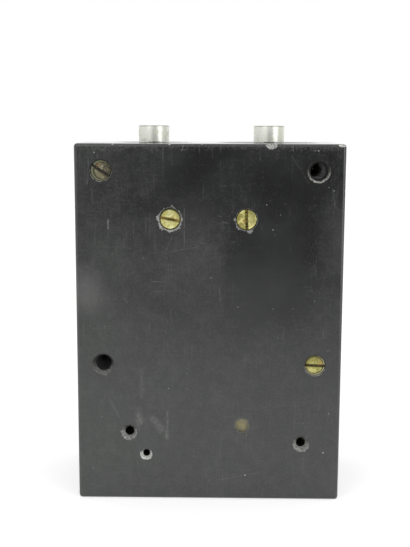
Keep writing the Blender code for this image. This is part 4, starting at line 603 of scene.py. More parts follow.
# Soft patches: across and up, reach and strength
SOFT_PATCHES = [
    (-41.0, 72.0, 9.5, 0.140), (-34.0, 68.0, 26.0, 0.014), (-5.0, 112.0, 26.0, -0.034),
    (25.0, 104.0, 27.0, -0.034), (46.0, 90.0, 14.0, 0.060), (32.0, 28.0, 26.0, -0.012),
    (0.0, 4.0, 18.0, 0.010), (-6.5, 86.5, 20.5, 0.042), (19.5, 77.0, 22.0, -0.060),
]
# The marks of the back are faded in between these two depths, in millimetres
BACK_BEGINS = (-24.7, -25.2)
# Hairlines: scale along each axis, turn, where the noise begins and is full, and strength
HAIRS = [
    ((3.0, 3.0, 0.09), 0.0, 0.57, 0.72, 0.9), ((0.10, 0.10, 3.0), 0.0, 0.58, 0.74, 0.75),
    ((3.4, 3.4, 0.12), 0.7, 0.62, 0.76, 0.7), ((3.4, 3.4, 0.14), -1.1, 0.63, 0.77, 0.6),
]

# %% [markdown]
# The top of the case is more polished, except round the posts, where their nuts rubbed it. And the
# worn end of the brass stud has smeared its colour over the rubber round it.

# %% Polished top and brass smear
SMEAR = on_back(11.3, 26.35)


def top_of_case(tree):
    """One on the polished top, nought on the other faces and round the posts."""
    mask = upward(tree).ramp(0.80, 0.97)
    for side, reach in (("left", 13.3), ("right", 17.9)):
        post = middle(f"post_{side}")
        away = millimetres(tree, (1, 1, 0), origin=(post.x, post.y, 0)).length()
        mask = mask * away.ramp(reach - 3.0, reach + 2.0)
    return mask


def brass_smear(tree):
    """Where the smear lies, from nought to one, and its colour."""
    spot = millimetres(tree, (1, 0, 1), origin=SMEAR)
    mottle = spot.noise(0.9, 4.0, 0.65)
    colour = mottle.ramp(0.4, 0.6).blend((0.27, 0.215, 0.095), (0.20, 0.195, 0.12))
    return (spot.length() + mottle * 1.4).ramp(3.8, 1.3), colour


# %% Hard rubber, faded and scratched
def marks_of_the_back(tree, worn, up, mottle, fine, at_back):
    """The wear with the strokes, specks, rubbed top band and soft patches added."""
    flat = millimetres(tree, (1, 0, 1))
    broken = millimetres(tree, (2.6, 2.6, 0.9)).noise(1.0, 4.0, 0.7).ramp(0.32, 0.62)
    lines = strokes(flat, STROKES) * broken
    points = strokes(flat, [(x, z, x, z, reach, strength) for x, z, reach, strength in SPECKS])
    worn = worn + lines.most(points) * at_back
    top_band = (up + mottle * 5.0).ramp(120.9, 122.2) * fine.ramp(0.38, 0.62)
    worn = worn + top_band * 0.055
    for across, height, reach, strength in SOFT_PATCHES:
        away = millimetres(tree, (1, 0, 0.8), origin=on_back(across, height)).length()
        worn = worn.math("ADD", away.ramp(reach, 0.0, 0.0, strength), clamp=True)
    return worn


def hard_rubber(name, back=False):
    """Hard rubber. On the back, the marks of the photograph are added."""
    material, tree = new_material(name)
    place = millimetres(tree)
    up = place.axis("Z")
    at_back = place.axis("Y").ramp(*BACK_BEGINS)
    cloud = place.noise(0.045, 4.0, 0.55)
    mottle = place.noise(0.30, 4.0, 0.62)
    fine = place.noise(1.3, 4.0, 0.6)
    hair = None
    for scale, turn, low, high, strength in HAIRS:
        hairs = millimetres(tree, scale, turn).noise(1.0, 3.0, 0.65).ramp(low, high) * strength
        hair = hair.most(hairs) if hair else hairs
    hair = hair * (place.noise(0.09, 3.0, 0.6).ramp(0.38, 0.64) * 0.8 + 0.2)
    pores = new_node(tree, "TexVoronoi", {"Vector": place, "Scale": 0.28}).outputs
    chosen = wire(tree, "SeparateColor", "Red", {"Color": Wire(pores["Color"])}).ramp(0.70, 0.90)
    dots = Wire(pores["Distance"]).ramp(0.070, 0.035) * chosen
    worn = (hair * 0.085).most(dots * 0.16) + mottle.ramp(0.35, 0.75, 0.0, 0.032)
    worn = worn + fine.ramp(0.44, 0.72, 0.0, 0.040)
    if back:
        worn = marks_of_the_back(tree, worn, up, mottle, fine, at_back)
    # Paler low down and to the left: partly the rubber's fade, partly a painted reflection of the white floor
    # and surround, which the face mirrors more there.
    fade_and_reflection_low_down = up.ramp(105.0, 10.0, 0.0, 0.52)
    fade_and_reflection_leftward = place.axis("X").ramp(20.0, -45.0, 0.0, 0.45)
    fade_and_painted_reflection = (fade_and_reflection_low_down + fade_and_reflection_leftward).math("ADD", cloud.ramp(0.30, 0.70, -0.22, 0.22), clamp=True)
    faded_and_reflecting = fade_and_painted_reflection.blend((0.0030, 0.0032, 0.0036), (0.0152, 0.0190, 0.0160))
    colour = worn.blend(faded_and_reflecting, (0.40, 0.405, 0.39))
    if back:
        smear, brass = brass_smear(tree)
        colour = (smear * at_back).blend(colour, brass)
    roughness = cloud.ramp(0.3, 0.7, 0.26, 0.33) + worn * 0.5 + top_of_case(tree) * -0.24
    return finished(material, colour, roughness, fine * 0.5 - hair, 0.010, 0.4, IOR=1.70)


# %% Broken rubber and the walls of the bores
def chipped_rubber(name, pale, lit_lean=(-1.0, -0.9), crumb=3.2, shaded_share=0.12, soft=0.2):
    """Broken hard rubber: rough and pale, and darker in its hollows.

    Where the surface looks up it is paler: painted light on the lower side of each broken rim. The
    third argument gives the lean at which that begins and is full, and the fifth scales the pale tone
    down in hollows and on faces that look elsewhere: painted shade.
    """
    material, tree = new_material(name)
    crumbs = millimetres(tree).noise(crumb, 5.0, 0.7)
    # Pale only where a crumb stands proud and the surface looks up: painted light on the lower side of a
    # broken rim.
    light = crumbs.ramp(0.46 - soft / 2, 0.46 + soft / 2) * upward(tree).ramp(*lit_lean)
    shade_and_dark_hollows = tuple(shaded_share * level + 0.008 for level in pale)
    return finished(material, light.blend(shade_and_dark_hollows, pale), 0.75, crumbs, 0.15, 0.8)


def bore_with_painted_light(dust):
    """The wall of an empty bore: dark near the mouth, and paler deeper in, painted light where little light
    reaches. The argument is how pale the deep wall is painted.
    """
    material, tree = new_material(f"bore_with_painted_light_{round(100 * dust)}")
    # Paler with depth: painted light.
    deep_painted_light = millimetres(tree, origin=(0, back_face, 0)).axis("Y").ramp(2.0, 12.0)
    return finished(material, deep_painted_light.blend((0.014,) * 3, (dust,) * 3), 0.75)


RUBBER = hard_rubber("hard_rubber", back=True)
PLAIN_RUBBER = hard_rubber("hard_rubber_front")
# The broken rubbers below differ in how pale they are, each set to how bright its broken place shows: partly
# the rubber's own tone, partly painted light and shade.
CHIP = chipped_rubber("chipped_rubber", (0.50, 0.50, 0.48), (-0.8, 0.0))
PALE_CHIP = chipped_rubber("chipped_rubber_pale", (0.80, 0.81, 0.76), (-0.85, -0.1))
DULL_CHIP = chipped_rubber("chipped_rubber_dull", (0.26, 0.26, 0.25))
HOLE_CHIP = chipped_rubber("chipped_rubber_hole", (0.42, 0.42, 0.40), (-0.95, 0.2), 1.6, soft=0.5)
SCREW_CHIP = chipped_rubber("chipped_rubber_screw", (0.40, 0.40, 0.37), (-0.8, 0.0))
LIP = chipped_rubber("worn_and_lit_lip", (0.42, 0.42, 0.39), (-0.35, 0.7), 1.2, shaded_share=0.03)
DUSTY_AND_LIT_LIP = chipped_rubber("dusty_and_lit_lip", (0.20, 0.20, 0.19), (-0.3, 0.7), 1.6, shaded_share=0.16)
DEEP_RUBBER = chipped_rubber("bore_rubber", (0.016, 0.016, 0.016))
# These bore walls are painted paler deep in: painted light.
GREY_LIT_BORE = bore_with_painted_light(0.35)
PALE_BORE = bore_with_painted_light(0.9)

# %% [markdown]
# ## Metals
#
# Brass, nickel and steel share one recipe: a metallic shader whose colour wanders between a clean
# and a tarnished tone, whose roughness follows the same stains, and whose fine marks are bump.

# %% Metal finishes
def metal(name, clean, tarnished, roughness, stain=(0.42, 0.62), stain_scale=0.9, marks=(3.0, 3.0, 3.0),
          purity=1.0, darker_above=None):
    """One finish of metal. Above a given height, in millimetres, its edge is painted darker."""
    material, tree = new_material(name)
    place = millimetres(tree)
    stains = place.noise(stain_scale, 4.0, 0.65).ramp(*stain)
    lines = millimetres(tree, marks).noise(1.0, 3.0, 0.6)
    colour = stains.blend(clean, tarnished)
    # The top edge of a post is painted darker.
    if darker_above:
        edge = place.axis("Z").ramp(darker_above, darker_above + 0.25, 0.0, 0.8)
        colour = edge.blend(colour, darker(tarnished, 0.4))
    rough = stains.ramp(0.0, 1.0, roughness, roughness + 0.2) + lines.ramp(0.35, 0.65, -0.04, 0.06)
    return finished(material, colour, rough, lines, 0.01, 0.5, Metallic=purity)


BRASS = metal("bright_brass", (0.70, 0.62, 0.27), (0.56, 0.47, 0.19), 0.28, (0.44, 0.76), 0.45)
DULL_BRASS = metal("dull_brass", (0.30, 0.27, 0.14), (0.13, 0.11, 0.06), 0.42)
NICKEL = metal("nickel", (0.83, 0.84, 0.77), (0.66, 0.67, 0.57), 0.27, (0.50, 0.75), 0.35, (5.0, 5.0, 0.5),
               purity=0.42, darker_above=126.35)
RING_NICKEL = metal("ring_nickel", (0.72, 0.72, 0.67), (0.52, 0.52, 0.45), 0.20, (0.48, 0.75), 0.22,
                    (0.9, 5.0, 0.9), purity=0.85)
STEEL = metal("steel", (0.52, 0.53, 0.54), (0.30, 0.29, 0.27), 0.32)
MAGNET = metal("magnet_steel", (0.16, 0.16, 0.17), (0.08, 0.075, 0.07), 0.42)
ALUMINIUM = metal("aluminium", (0.78, 0.79, 0.80), (0.60, 0.61, 0.62), 0.33)
BRONZE = metal("spring_bronze", (0.58, 0.38, 0.19), (0.34, 0.21, 0.10), 0.30)

# %% [markdown]
# ## The case shell
#
# The frame's case already has its bays, bosses and bores. A merged copy of it is worked further:
# ragged countersinks where the rubber broke out round the screws and the small holes, and chips
# knocked off the edges. Rebuilding the case from a box would only risk moving something.

# %% Copy the case and merge its corners
def merged_copy(node, name, material):
    """A copy of a frame node as one clean mesh, ready for more work."""
    source = frame["nodes"][node]
    piece = bpy.data.objects.new(name, source.data.copy())
    piece.data.name = name
    bpy.context.scene.collection.objects.link(piece)
    piece.data.materials.clear()
    piece.data.materials.append(material)
    for face in piece.data.polygons:
        face.material_index = 0
    open_mesh(piece, "VERT")
    bpy.ops.mesh.remove_doubles(threshold=0.001 * MM)
    bpy.ops.mesh.dissolve_limited(angle_limit=math.radians(0.5))
    close_mesh()
    return piece


case_shell = merged_copy("case_body", "case_shell", RUBBER)
print("case shell starts with", len(case_shell.data.polygons), "faces")

# %% A cutter for a hole whose rim has broken out
OVERSHOOT = 0.5


def hole_cutter(place, steps, ragged, material, seed, spikes, sides, amount, pale_depth=0.0,
                deep=DEEP_RUBBER):
    """A turned cutter through the back face, with its lengths in millimetres.

    Steps are pairs of radius and depth, and the first of them is the rim at the face. Only the
    steps down to the ragged depth are broken. Spikes are pairs of angle in degrees and extra reach.
    The rim's material reaches down to the pale depth, and the deep one begins in the bore.
    """
    rim, throat = steps[0], steps[1]
    flare = (rim[0] - throat[0]) / (throat[1] - rim[1])
    steps = [(rim[0] + flare * OVERSHOOT, -OVERSHOOT)] + steps
    centre = Vector((place.x, 0, place.z))
    profile = [(radius * MM, back_face + depth * MM) for radius, depth in steps]
    cutter = turned("hole_cutter", profile, centre, "Y", sides)

    def broken(corner):
        return corner.y < back_face + ragged * MM

    for angle, reach in spikes:
        direction = Vector((math.cos(math.radians(angle)), 0, math.sin(math.radians(angle))))

        def near(corner):
            flat = Vector((corner.x, 0, corner.z)) - centre
            outer = flat.length > (throat[0] - 0.2) * MM
            return broken(corner) and outer and flat.normalized().dot(direction) > 0.985

        open_mesh(cutter, "VERT")
        choose(cutter, "VERT", near)
        bpy.ops.transform.translate(value=direction * reach * MM)
        close_mesh()
    roughened(cutter, amount * MM, seed, broken)
    cutter.data.materials.append(material)
    cutter.data.materials.append(deep)
    limit = (max(throat[1], ragged, pale_depth) + 0.02) * MM
    for face in cutter.data.polygons:
        face.material_index = 0 if face.center.y - back_face <= limit else 1
    return cutter


# %% Cut the holes again, finer and broken at the rim
HEAD_RECESS = 3.52
RECESS_DEPTH = 0.47
SINK_DEPTH = 2.2
PALE_DEPTH = 1.15
BORE = 2.02
WIDE_BORE = 2.62
WALL_INSIDE = 6.6
CASE_THROUGH = (case_high.y - back_face) / MM + 0.5
left_screw = middle("movement_screw_left")
right_screw = middle("movement_screw_right")
top_left_screw = middle("case_screw_top_left")
low_right_screw = middle("case_screw_low_right")


def sunk_steps(rim, rim_depth, through, bore=BORE):
    """The steps of a hole sunk for a flat-headed screw."""
    share = (PALE_DEPTH - RECESS_DEPTH) / (SINK_DEPTH - RECESS_DEPTH)
    return [(rim, 0.0), (HEAD_RECESS, rim_depth), (HEAD_RECESS, RECESS_DEPTH),
            (HEAD_RECESS + share * (bore - HEAD_RECESS), PALE_DEPTH), (bore, SINK_DEPTH), (bore, 5.0),
            (bore, through)]


def small_steps(rim, bore, depth):
    return [(rim, 0.0), (bore, depth), (bore, WALL_INSIDE)]


cutters = [
    hole_cutter(left_screw, sunk_steps(4.02, 0.40, WALL_INSIDE), 0.1, SCREW_CHIP, 3,
                [(175, 0.5), (78, 0.45), (-90, 0.45), (20, 0.3), (-50, 0.4), (-130, 0.4), (135, 0.2)],
                60, 0.22),
    hole_cutter(right_screw, sunk_steps(3.70, 0.30, WALL_INSIDE), 0.1, DULL_CHIP, 5,
                [(180, 0.5), (-135, 0.6), (-80, 0.9), (-65, 0.7)], 60, 0.12),
    hole_cutter(on_back(-26.95, 23.45), small_steps(2.68, 1.56, 2.1), 1.4, HOLE_CHIP, 7,
                [(170, 0.2), (140, 0.2), (-80, 0.15)], 36, 0.20),
    hole_cutter(on_back(-21.2, 15.8), small_steps(2.05, 1.18, 1.6), 1.1, PALE_CHIP, 11,
                [(-45, 0.35), (10, 0.15)], 32, 0.18),
    hole_cutter(on_back(31.45, 19.8), small_steps(2.82, 1.56, 2.2), 1.4, HOLE_CHIP, 13,
                [(0, 0.2), (-60, 0.15)], 36, 0.18),
    hole_cutter(top_left_screw, sunk_steps(3.64, 0.16, CASE_THROUGH), 0.05, LIP, 17, (), 96, 0.02),
    hole_cutter(low_right_screw, sunk_steps(3.64, 0.16, CASE_THROUGH), 0.05, LIP, 19, (), 96, 0.02),
    hole_cutter(Vector((-top_left_screw.x, 0, top_left_screw.z)),
                sunk_steps(3.80, 0.22, CASE_THROUGH, WIDE_BORE), 0.1, LIP, 21, (), 96, 0.05,
                PALE_DEPTH, PALE_BORE),
    hole_cutter(Vector((-low_right_screw.x, 0, low_right_screw.z)),
                sunk_steps(3.66, 0.22, CASE_THROUGH, WIDE_BORE), 0.1, DUSTY_AND_LIT_LIP, 23,
                [(-80, 0.4), (175, 0.2)], 96, 0.07, SINK_DEPTH, GREY_LIT_BORE),
]

# %% [markdown]
# Edges chip too. Each chip is a small lump, an icosphere pressed out of round and roughened, set on
# the edge where the photograph shows the rubber missing, and subtracted.

# %% Chips on the edges
def chip(x, y, z, size, material, seed):
    deselect()
    bpy.ops.mesh.primitive_ico_sphere_add(subdivisions=3, radius=1.0, location=(x, y, z))
    lump = bpy.context.object
    lump.scale = size
    bpy.ops.object.transform_apply()
    roughened(lump, 0.12 * min(size), seed)
    lump.data.materials.append(material)
    return lump


EDGE_CHIPS = [
    (20.1, 0.2, 120.9, (2.0, 0.8, 1.75), CHIP),
    (-31.7, 0.1, 121.0, (0.8, 0.5, 0.5), CHIP),
    (-13.2, 0.1, 121.0, (0.7, 0.5, 0.6), CHIP),
    (-2.5, 0.1, 121.0, (0.9, 0.5, 0.4), CHIP),
    (43.2, 0.15, 120.65, (1.5, 0.6, 0.6), PALE_CHIP),
    (44.4, 0.1, 105.9, (0.35, 0.5, 0.6), CHIP),
    (44.4, 0.1, 103.3, (0.35, 0.5, 0.5), CHIP),
    (-37.2, 0.1, 0.0, (0.7, 0.5, 0.4), CHIP),
]
for index, (x, inward, z, size, material) in enumerate(EDGE_CHIPS):
    cutters.append(chip(x * MM, back_face + inward * MM, z * MM, [share * MM for share in size],
                        material, 31 + index))
for cutter in cutters:
    carve(case_shell, cutter)
finish_piece(case_shell, "case_body")

# %% [markdown]
# ## Slotted screws
#
# Each flat-headed screw is turned from its profile, its slot is sawn with a thin box, and all its
# sharp edges get a small bevel, because a real edge always catches a line of light. Every head has
# aged in its own way, so each has a brass of its own, and each brass's brightness is also set to
# make up for the light on its head: painted light.

# %% Screws
FLAT_HEAD = 3.44 * MM


def screw_brass(name, centre, clean, tarnished, ring, stain_place, slot_angle, rim_colour=(0.22, 0.21, 0.13),
                streak=0.7, seed=0.0, shade=(0.0, 0.0)):
    """Brass of one screw head: file marks, a stain beside the slot, dirt round the rim, and painted
    highlights.

    Ring is the dirt's radius, half its width and its centre, across and up, in millimetres. Shade
    is the way in which the head is duller.
    """
    material, tree = new_material(name)
    place = millimetres(tree, origin=(centre.x + seed * MM, 0, centre.z))
    marks = millimetres(tree, (3.4, 3.4, 0.7), streak).noise(1.0, 3.0, 0.6)
    blots = place.noise(0.75, 4.0, 0.7)

    def from_centre(across, up, turn=0.0):
        return millimetres(tree, (1, 0, 1), turn, (centre.x + across * MM, 0, centre.z + up * MM))

    lean = from_centre(0, 0).vector("DOT_PRODUCT", (shade[0], 0.0, shade[1]), "Value")
    dull = (marks * 0.5 + blots * 0.5 + lean).ramp(0.42, 0.62)
    edge = from_centre(0, 0).length().ramp(1.6, 3.4, 0.0, 0.55)
    colour = edge.blend(dull.blend(clean, tarnished), tarnished)
    # Brighter patches of brass: painted highlights.
    painted_highlight = place.noise(0.42, 3.0, 0.6).ramp(0.50, 0.64, 0.0, 0.8)
    colour = painted_highlight.blend(colour, tuple(min(0.98, 1.25 * part + 0.05) for part in clean))
    stain = (from_centre(*stain_place).length() + blots * 1.2).ramp(1.7, 0.9) * 0.6
    colour = stain.blend(colour, (0.38, 0.18, 0.05))
    near_slot = from_centre(0, 0, math.radians(slot_angle)).axis("Z").math("ABSOLUTE") + blots * 1.1
    colour = near_slot.ramp(1.35, 0.75).blend(colour, darker(tarnished, 0.45))
    radius, half_width, across, up = ring
    outside = from_centre(across, up).length() + blots * 0.25 - (radius + 0.125)
    colour = outside.ramp(0.0, 0.1).blend(colour, rim_colour)
    dirt = outside.math("ABSOLUTE").ramp(half_width + 0.16, half_width) * 0.9
    return finished(material, dirt.blend(colour, (0.045, 0.038, 0.018)), dull.ramp(0.0, 1.0, 0.36, 0.55),
                    marks, 0.03, 0.6, Metallic=0.85)


def saw_slot(screw, place, head, angle, depth, width, material, ragged=False):
    """Saw a slot across a head. Its depth and width are in millimetres."""
    saw = block(place, (2.4 * head, 2 * depth * MM, width * MM), angle)
    if ragged:
        open_mesh(saw, "EDGE")
        bpy.ops.mesh.subdivide(number_cuts=3)
        close_mesh()
        roughened(saw, 0.05 * MM, 7)
    saw.data.materials.append(material)
    carve(screw, saw)


def slotted_screw(node, name, material, slot, angle, out=-1, slot_width=0.78, slot_depth=0.5):
    """A finer screw where the frame's own screw stands. Out is -1 if its head faces -Y."""
    low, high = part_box(node)
    centre = (low + high) / 2
    head = FLAT_HEAD if out < 0 else high.x - centre.x
    face, tip = (low.y, high.y) if out < 0 else (high.y, low.y)
    shank = head * (0.53 if head > 3 * MM else 0.5)
    cone = 1.7 / 1.5 * (head - shank)

    def sunk(depth):
        return face - out * depth * MM

    profile = [(0.2 * head, sunk(0.01)), (0.7 * head, sunk(0.01)), (head - 0.42 * MM, sunk(0.03)),
               (head - 0.10 * MM, sunk(0.16)), (head, sunk(0.24)), (head, sunk(0.3)),
               (shank, sunk(0.3) - out * cone), (shank, tip + out * 0.5 * MM), (shank - 0.5 * MM, tip)]
    screw = turned(name, profile, centre, "Y", 72)
    screw.data.materials.append(material)
    saw_slot(screw, (centre.x, face, centre.z), head, -angle, slot_depth, slot_width, slot, ragged=True)
    soften(screw, 0.05)
    finish_piece(screw, node)


# %% The six flat-headed screws, each with its own age
SLOT_DIRT = metal("slot_dirt", (0.34, 0.27, 0.08), (0.12, 0.10, 0.03), 0.6, (0.38, 0.60))
RUSTY_SLOT = metal("slot_rust", (0.42, 0.29, 0.10), (0.17, 0.13, 0.04), 0.55, (0.40, 0.62), 0.7)
DARK_SLOT = metal("slot_dark", (0.20, 0.16, 0.08), (0.08, 0.06, 0.03), 0.6, (0.38, 0.60))
GREY_SLOT = metal("slot_grey", (0.09, 0.08, 0.06), (0.035, 0.03, 0.025), 0.6, (0.35, 0.60), purity=0.3)
slotted_screw("case_screw_top_left", "corner_screw_top_left", screw_brass(
    "brass_top_left", top_left_screw, (0.27, 0.25, 0.155), (0.07, 0.061, 0.050), (2.72, 0.06, 0.45, 0.0),
    (-1.4, 2.1), -33, (0.16, 0.165, 0.11), shade=(0.03, 0.04)), GREY_SLOT, -33, slot_width=0.85)
slotted_screw("case_screw_low_right", "corner_screw_low_right", screw_brass(
    "brass_low_right", low_right_screw, (0.48, 0.45, 0.155), (0.24, 0.215, 0.065), (2.93, 0.09, -0.12, 0.20),
    (1.9, 0.7), -3, (0.36, 0.35, 0.22), seed=3.0), DARK_SLOT, -3)
slotted_screw("movement_screw_left", "bay_screw_left", screw_brass(
    "brass_bay_left", left_screw, (0.92, 0.87, 0.38), (0.48, 0.43, 0.12), (3.20, 0.09, 0.0, 0.0), (0.5, 0.3),
    -11, (0.16, 0.145, 0.07)), RUSTY_SLOT, -11)
slotted_screw("movement_screw_right", "bay_screw_right", screw_brass(
    "brass_bay_right", right_screw, (0.69, 0.65, 0.25), (0.33, 0.29, 0.085), (3.30, 0.04, 0.0, 0.0),
    (-0.6, -0.6), 92, (0.16, 0.145, 0.07), streak=0.04, seed=5.0, shade=(-0.05, 0.0)), SLOT_DIRT, 92,
    slot_depth=0.4)
for side, seed in (("left", 9.0), ("right", 14.0)):
    slotted_screw(f"cover_screw_{side}", f"battery_screw_{side}", screw_brass(
        f"brass_cover_{side}", middle(f"cover_screw_{side}"), (0.70, 0.62, 0.27), (0.40, 0.33, 0.12),
        (2.5, 0.05, 0.0, 0.0), (0.8, 0.8), 24, seed=seed), SLOT_DIRT, 24, out=1, slot_width=0.74)

# %% [markdown]
# ## The contact posts
#
# Two plain nickelled posts carry the shot-firer's test leads. They are turned with a soft edge at
# the top, and the stud below passes through the case.

# %% Posts
POST_SEAT = top_face + 0.3 * MM
POST_STUD = 1.9 * MM
POST_EDGE = 0.35 * MM
for side in ("left", "right"):
    low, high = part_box(f"post_{side}")
    centre = (low + high) / 2
    radius = high.x - centre.x
    turned_piece(f"post_{side}", f"contact_post_{side}", [
        (0.3 * radius, high.z), (radius - POST_EDGE, high.z),
        (radius - 0.3 * POST_EDGE, high.z - 0.3 * POST_EDGE), (radius, high.z - POST_EDGE),
        (radius, POST_SEAT), (POST_STUD, POST_SEAT), (POST_STUD, low.z)],
        NICKEL, centre, "Z", 128)

# %% [markdown]
# ## The stud in the back
#
# The end of a brass contact stud lies flush in the back face, so worn and dirty that it is little
# more than an orange-olive stain with a soft edge. The head is turned afresh and its colour fades
# from brass to black towards the rim.

# %% Contact stud
STUD_HEAD = 1.83 * MM


def worn_stud():
    material, tree = new_material("worn_stud")
    smear, brass = brass_smear(tree)
    relief = millimetres(tree).noise(1.1, 4.0, 0.7)
    return finished(material, smear.blend((0.032, 0.035, 0.030), brass), 0.5, relief, 0.05, 0.5, Metallic=0.2)


low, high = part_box("contact_stud")
centre = (low + high) / 2
shank = high.x - centre.x - 0.1 * MM
turned_piece("contact_stud", "stud_end", [
    (0.3 * STUD_HEAD, back_face + 0.02 * MM), (0.97 * STUD_HEAD, back_face + 0.02 * MM),
    (STUD_HEAD, back_face + 0.05 * MM), (STUD_HEAD, back_face + 1.2 * MM), (shank, back_face + 1.3 * MM),
    (shank, high.y)], worn_stud(), centre, "Y", 64)

# %% [markdown]
# ## The front panel and the battery cover
#
# These two sit on the dial side and already have the right shape. A merged copy takes a weighted
# normal, so the flats shade flat and the rounded edges shade round.

# %% Front panel and cover
def weighted(piece):
    """Shade flats flat where they meet a rounded edge."""
    pick(piece)
    bpy.ops.object.shade_smooth_by_angle(angle=math.radians(35))
    apply_modifier(piece, "WEIGHTED_NORMAL", weight=100, keep_sharp=True)


def carried_over(node, name, material, body="case", bevel=0.0):
    """A merged copy that keeps the frame's shape, with softened edges where a bevel is given."""
    piece = merged_copy(node, name, material)
    if bevel:
        soften(piece, bevel)
    finish_piece(piece, node, body)
    weighted(piece)


carried_over("front_panel", "meter_panel", PLAIN_RUBBER)
carried_over("battery_cover", "bay_cover", PLAIN_RUBBER)
weighted(case_shell)

# %% [markdown]
# ## The window
#
# A turned nickel ring holds a flat glass over the dial. The ring is a closed profile spun round the
# window's axis: a hollow turning, begun from a circle with no face in it.

# %% Window ring and glass
window = middle("window_bezel")
ring_low, ring_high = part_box("window_bezel")
RING_OUTER = ring_high.x
RING_INNER = 27.0 * MM
SPIGOT = 29.5 * MM
SEAT = 23.45 * MM
CHAMFER = 0.9 * MM
SOFT = 0.2 * MM
turned_piece("window_bezel", "window_ring", [
    (RING_INNER, ring_low.y), (SPIGOT, ring_low.y), (SPIGOT, SEAT), (RING_OUTER, SEAT),
    (RING_OUTER, ring_high.y - CHAMFER - SOFT), (RING_OUTER - SOFT, ring_high.y - CHAMFER + SOFT),
    (RING_OUTER - CHAMFER - SOFT, ring_high.y - SOFT), (RING_OUTER - CHAMFER - 2 * SOFT, ring_high.y),
    (RING_INNER + CHAMFER + 2 * SOFT, ring_high.y), (RING_INNER + CHAMFER, ring_high.y - SOFT),
    (RING_INNER, ring_high.y - CHAMFER - SOFT)], RING_NICKEL, window, "Y", 160, hollow=True)


def drum(low, high, radius, soft, inner):
    """The profile of a short drum with softened rims. Inner is the first ring's share."""
    return [(inner * radius, low), (radius - soft, low), (radius, low + soft), (radius, high - soft),
            (radius - soft, high), (inner * radius, high)]


def clear_glass():
    """Old window glass: clear, with a little haze of dust and wiping marks."""
    material, tree = new_material("window_glass")
    haze = millimetres(tree, (0.6, 0.6, 0.2)).noise(1.0, 4.0, 0.6).ramp(0.45, 0.75, 0.0, 0.05)
    return finished(material, (0.97, 0.98, 0.96), haze, Transmission_Weight=1.0, IOR=1.48)


low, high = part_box("window_glass")
turned_piece("window_glass", "window_pane", drum(low.y, high.y, high.x, 0.25 * MM, 0.5), clear_glass(),
             window, "Y", 128)

# %% [markdown]
# ## The dial
#
# The dial is a cream card on a metal plate, with a round opening for the coil. Its scale is real
# thin print: an arc, fifty-one ticks and six plain numbers, laid a hair above the card. One tick is
# modelled and copied round the needle's axis.

# %% Dial plate with a round opening
PIVOT = middle("arbor_front")
DIAL_FRONT = 6.55 * MM
OPENING = 13.3 * MM
START_ANGLE = 45
SPAN = -90


def aged_card():
    material, tree = new_material("dial_card")
    place = millimetres(tree)
    fibre = place.noise(2.2, 5.0, 0.7)
    foxing = place.noise(0.16, 5.0, 0.65).ramp(0.52, 0.74)
    rim = millimetres(tree, origin=(0, 0, window.z)).length().ramp(18.0, 30.0)
    plain = fibre.ramp(0.35, 0.65).blend((0.80, 0.76, 0.64), (0.74, 0.69, 0.56))
    colour = (rim * 0.65).most(foxing * 0.55).blend(plain, (0.58, 0.47, 0.29))
    return finished(material, colour, 0.62, fibre, 0.02, 0.4)


def print_ink():
    material, tree = new_material("print_ink")
    worn = millimetres(tree).noise(1.6, 4.0, 0.7).ramp(0.45, 0.75)
    return finished(material, worn.blend((0.020, 0.018, 0.017), (0.10, 0.085, 0.06)), 0.55)


CARD = aged_card()
INK = print_ink()
dial = merged_copy("dial_plate", "dial_face", CARD)
below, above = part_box("dial_plate")[0].y - 1 * MM, DIAL_FRONT + 1 * MM
hole = turned("opening_cutter", [(0.5 * OPENING, below), (OPENING, below), (OPENING, above),
                                 (0.5 * OPENING, above)], PIVOT, "Y", 96)
hole.data.materials.append(CARD)
carve(dial, hole)
soften(dial, 0.08, 50)
finish_piece(dial, "dial_plate")
weighted(dial)

# %% Printed arc, ticks and numbers
ARC = 32.6 * MM
PRINT = 0.02 * MM
LINE = 0.22 * MM


def on_dial(angle, radius):
    turn = math.radians(angle)
    return (PIVOT.x + radius * math.sin(turn), DIAL_FRONT + PRINT, PIVOT.z + radius * math.cos(turn))


def finish_print(piece, name):
    piece.name = name
    piece.data.name = name
    piece.data.materials.clear()
    piece.data.materials.append(INK)
    finish_piece(piece)


deselect()
bpy.ops.mesh.primitive_circle_add(vertices=240, radius=ARC, fill_type="NOTHING", rotation=FACING["Y"],
                                  location=(PIVOT.x, DIAL_FRONT, PIVOT.z))
arc = bpy.context.object
bpy.ops.object.transform_apply()
open_mesh(arc, "EDGE")
bpy.ops.mesh.extrude_edges_move()
bpy.ops.transform.resize(value=((ARC + LINE) / ARC, 1, (ARC + LINE) / ARC),
                         center_override=(PIVOT.x, 0, PIVOT.z))
choose(arc, "FACE", lambda place: abs(math.degrees(math.atan2(place.x - PIVOT.x, place.z - PIVOT.z))) > 45.5)
bpy.ops.mesh.delete(type="FACE")
bpy.ops.mesh.select_all(action="SELECT")
bpy.ops.mesh.extrude_region_move(TRANSFORM_OT_translate={"value": (0, PRINT, 0)})
bpy.ops.mesh.select_all(action="SELECT")
bpy.ops.mesh.normals_make_consistent(inside=False)
close_mesh()
finish_print(arc, "scale_arc")

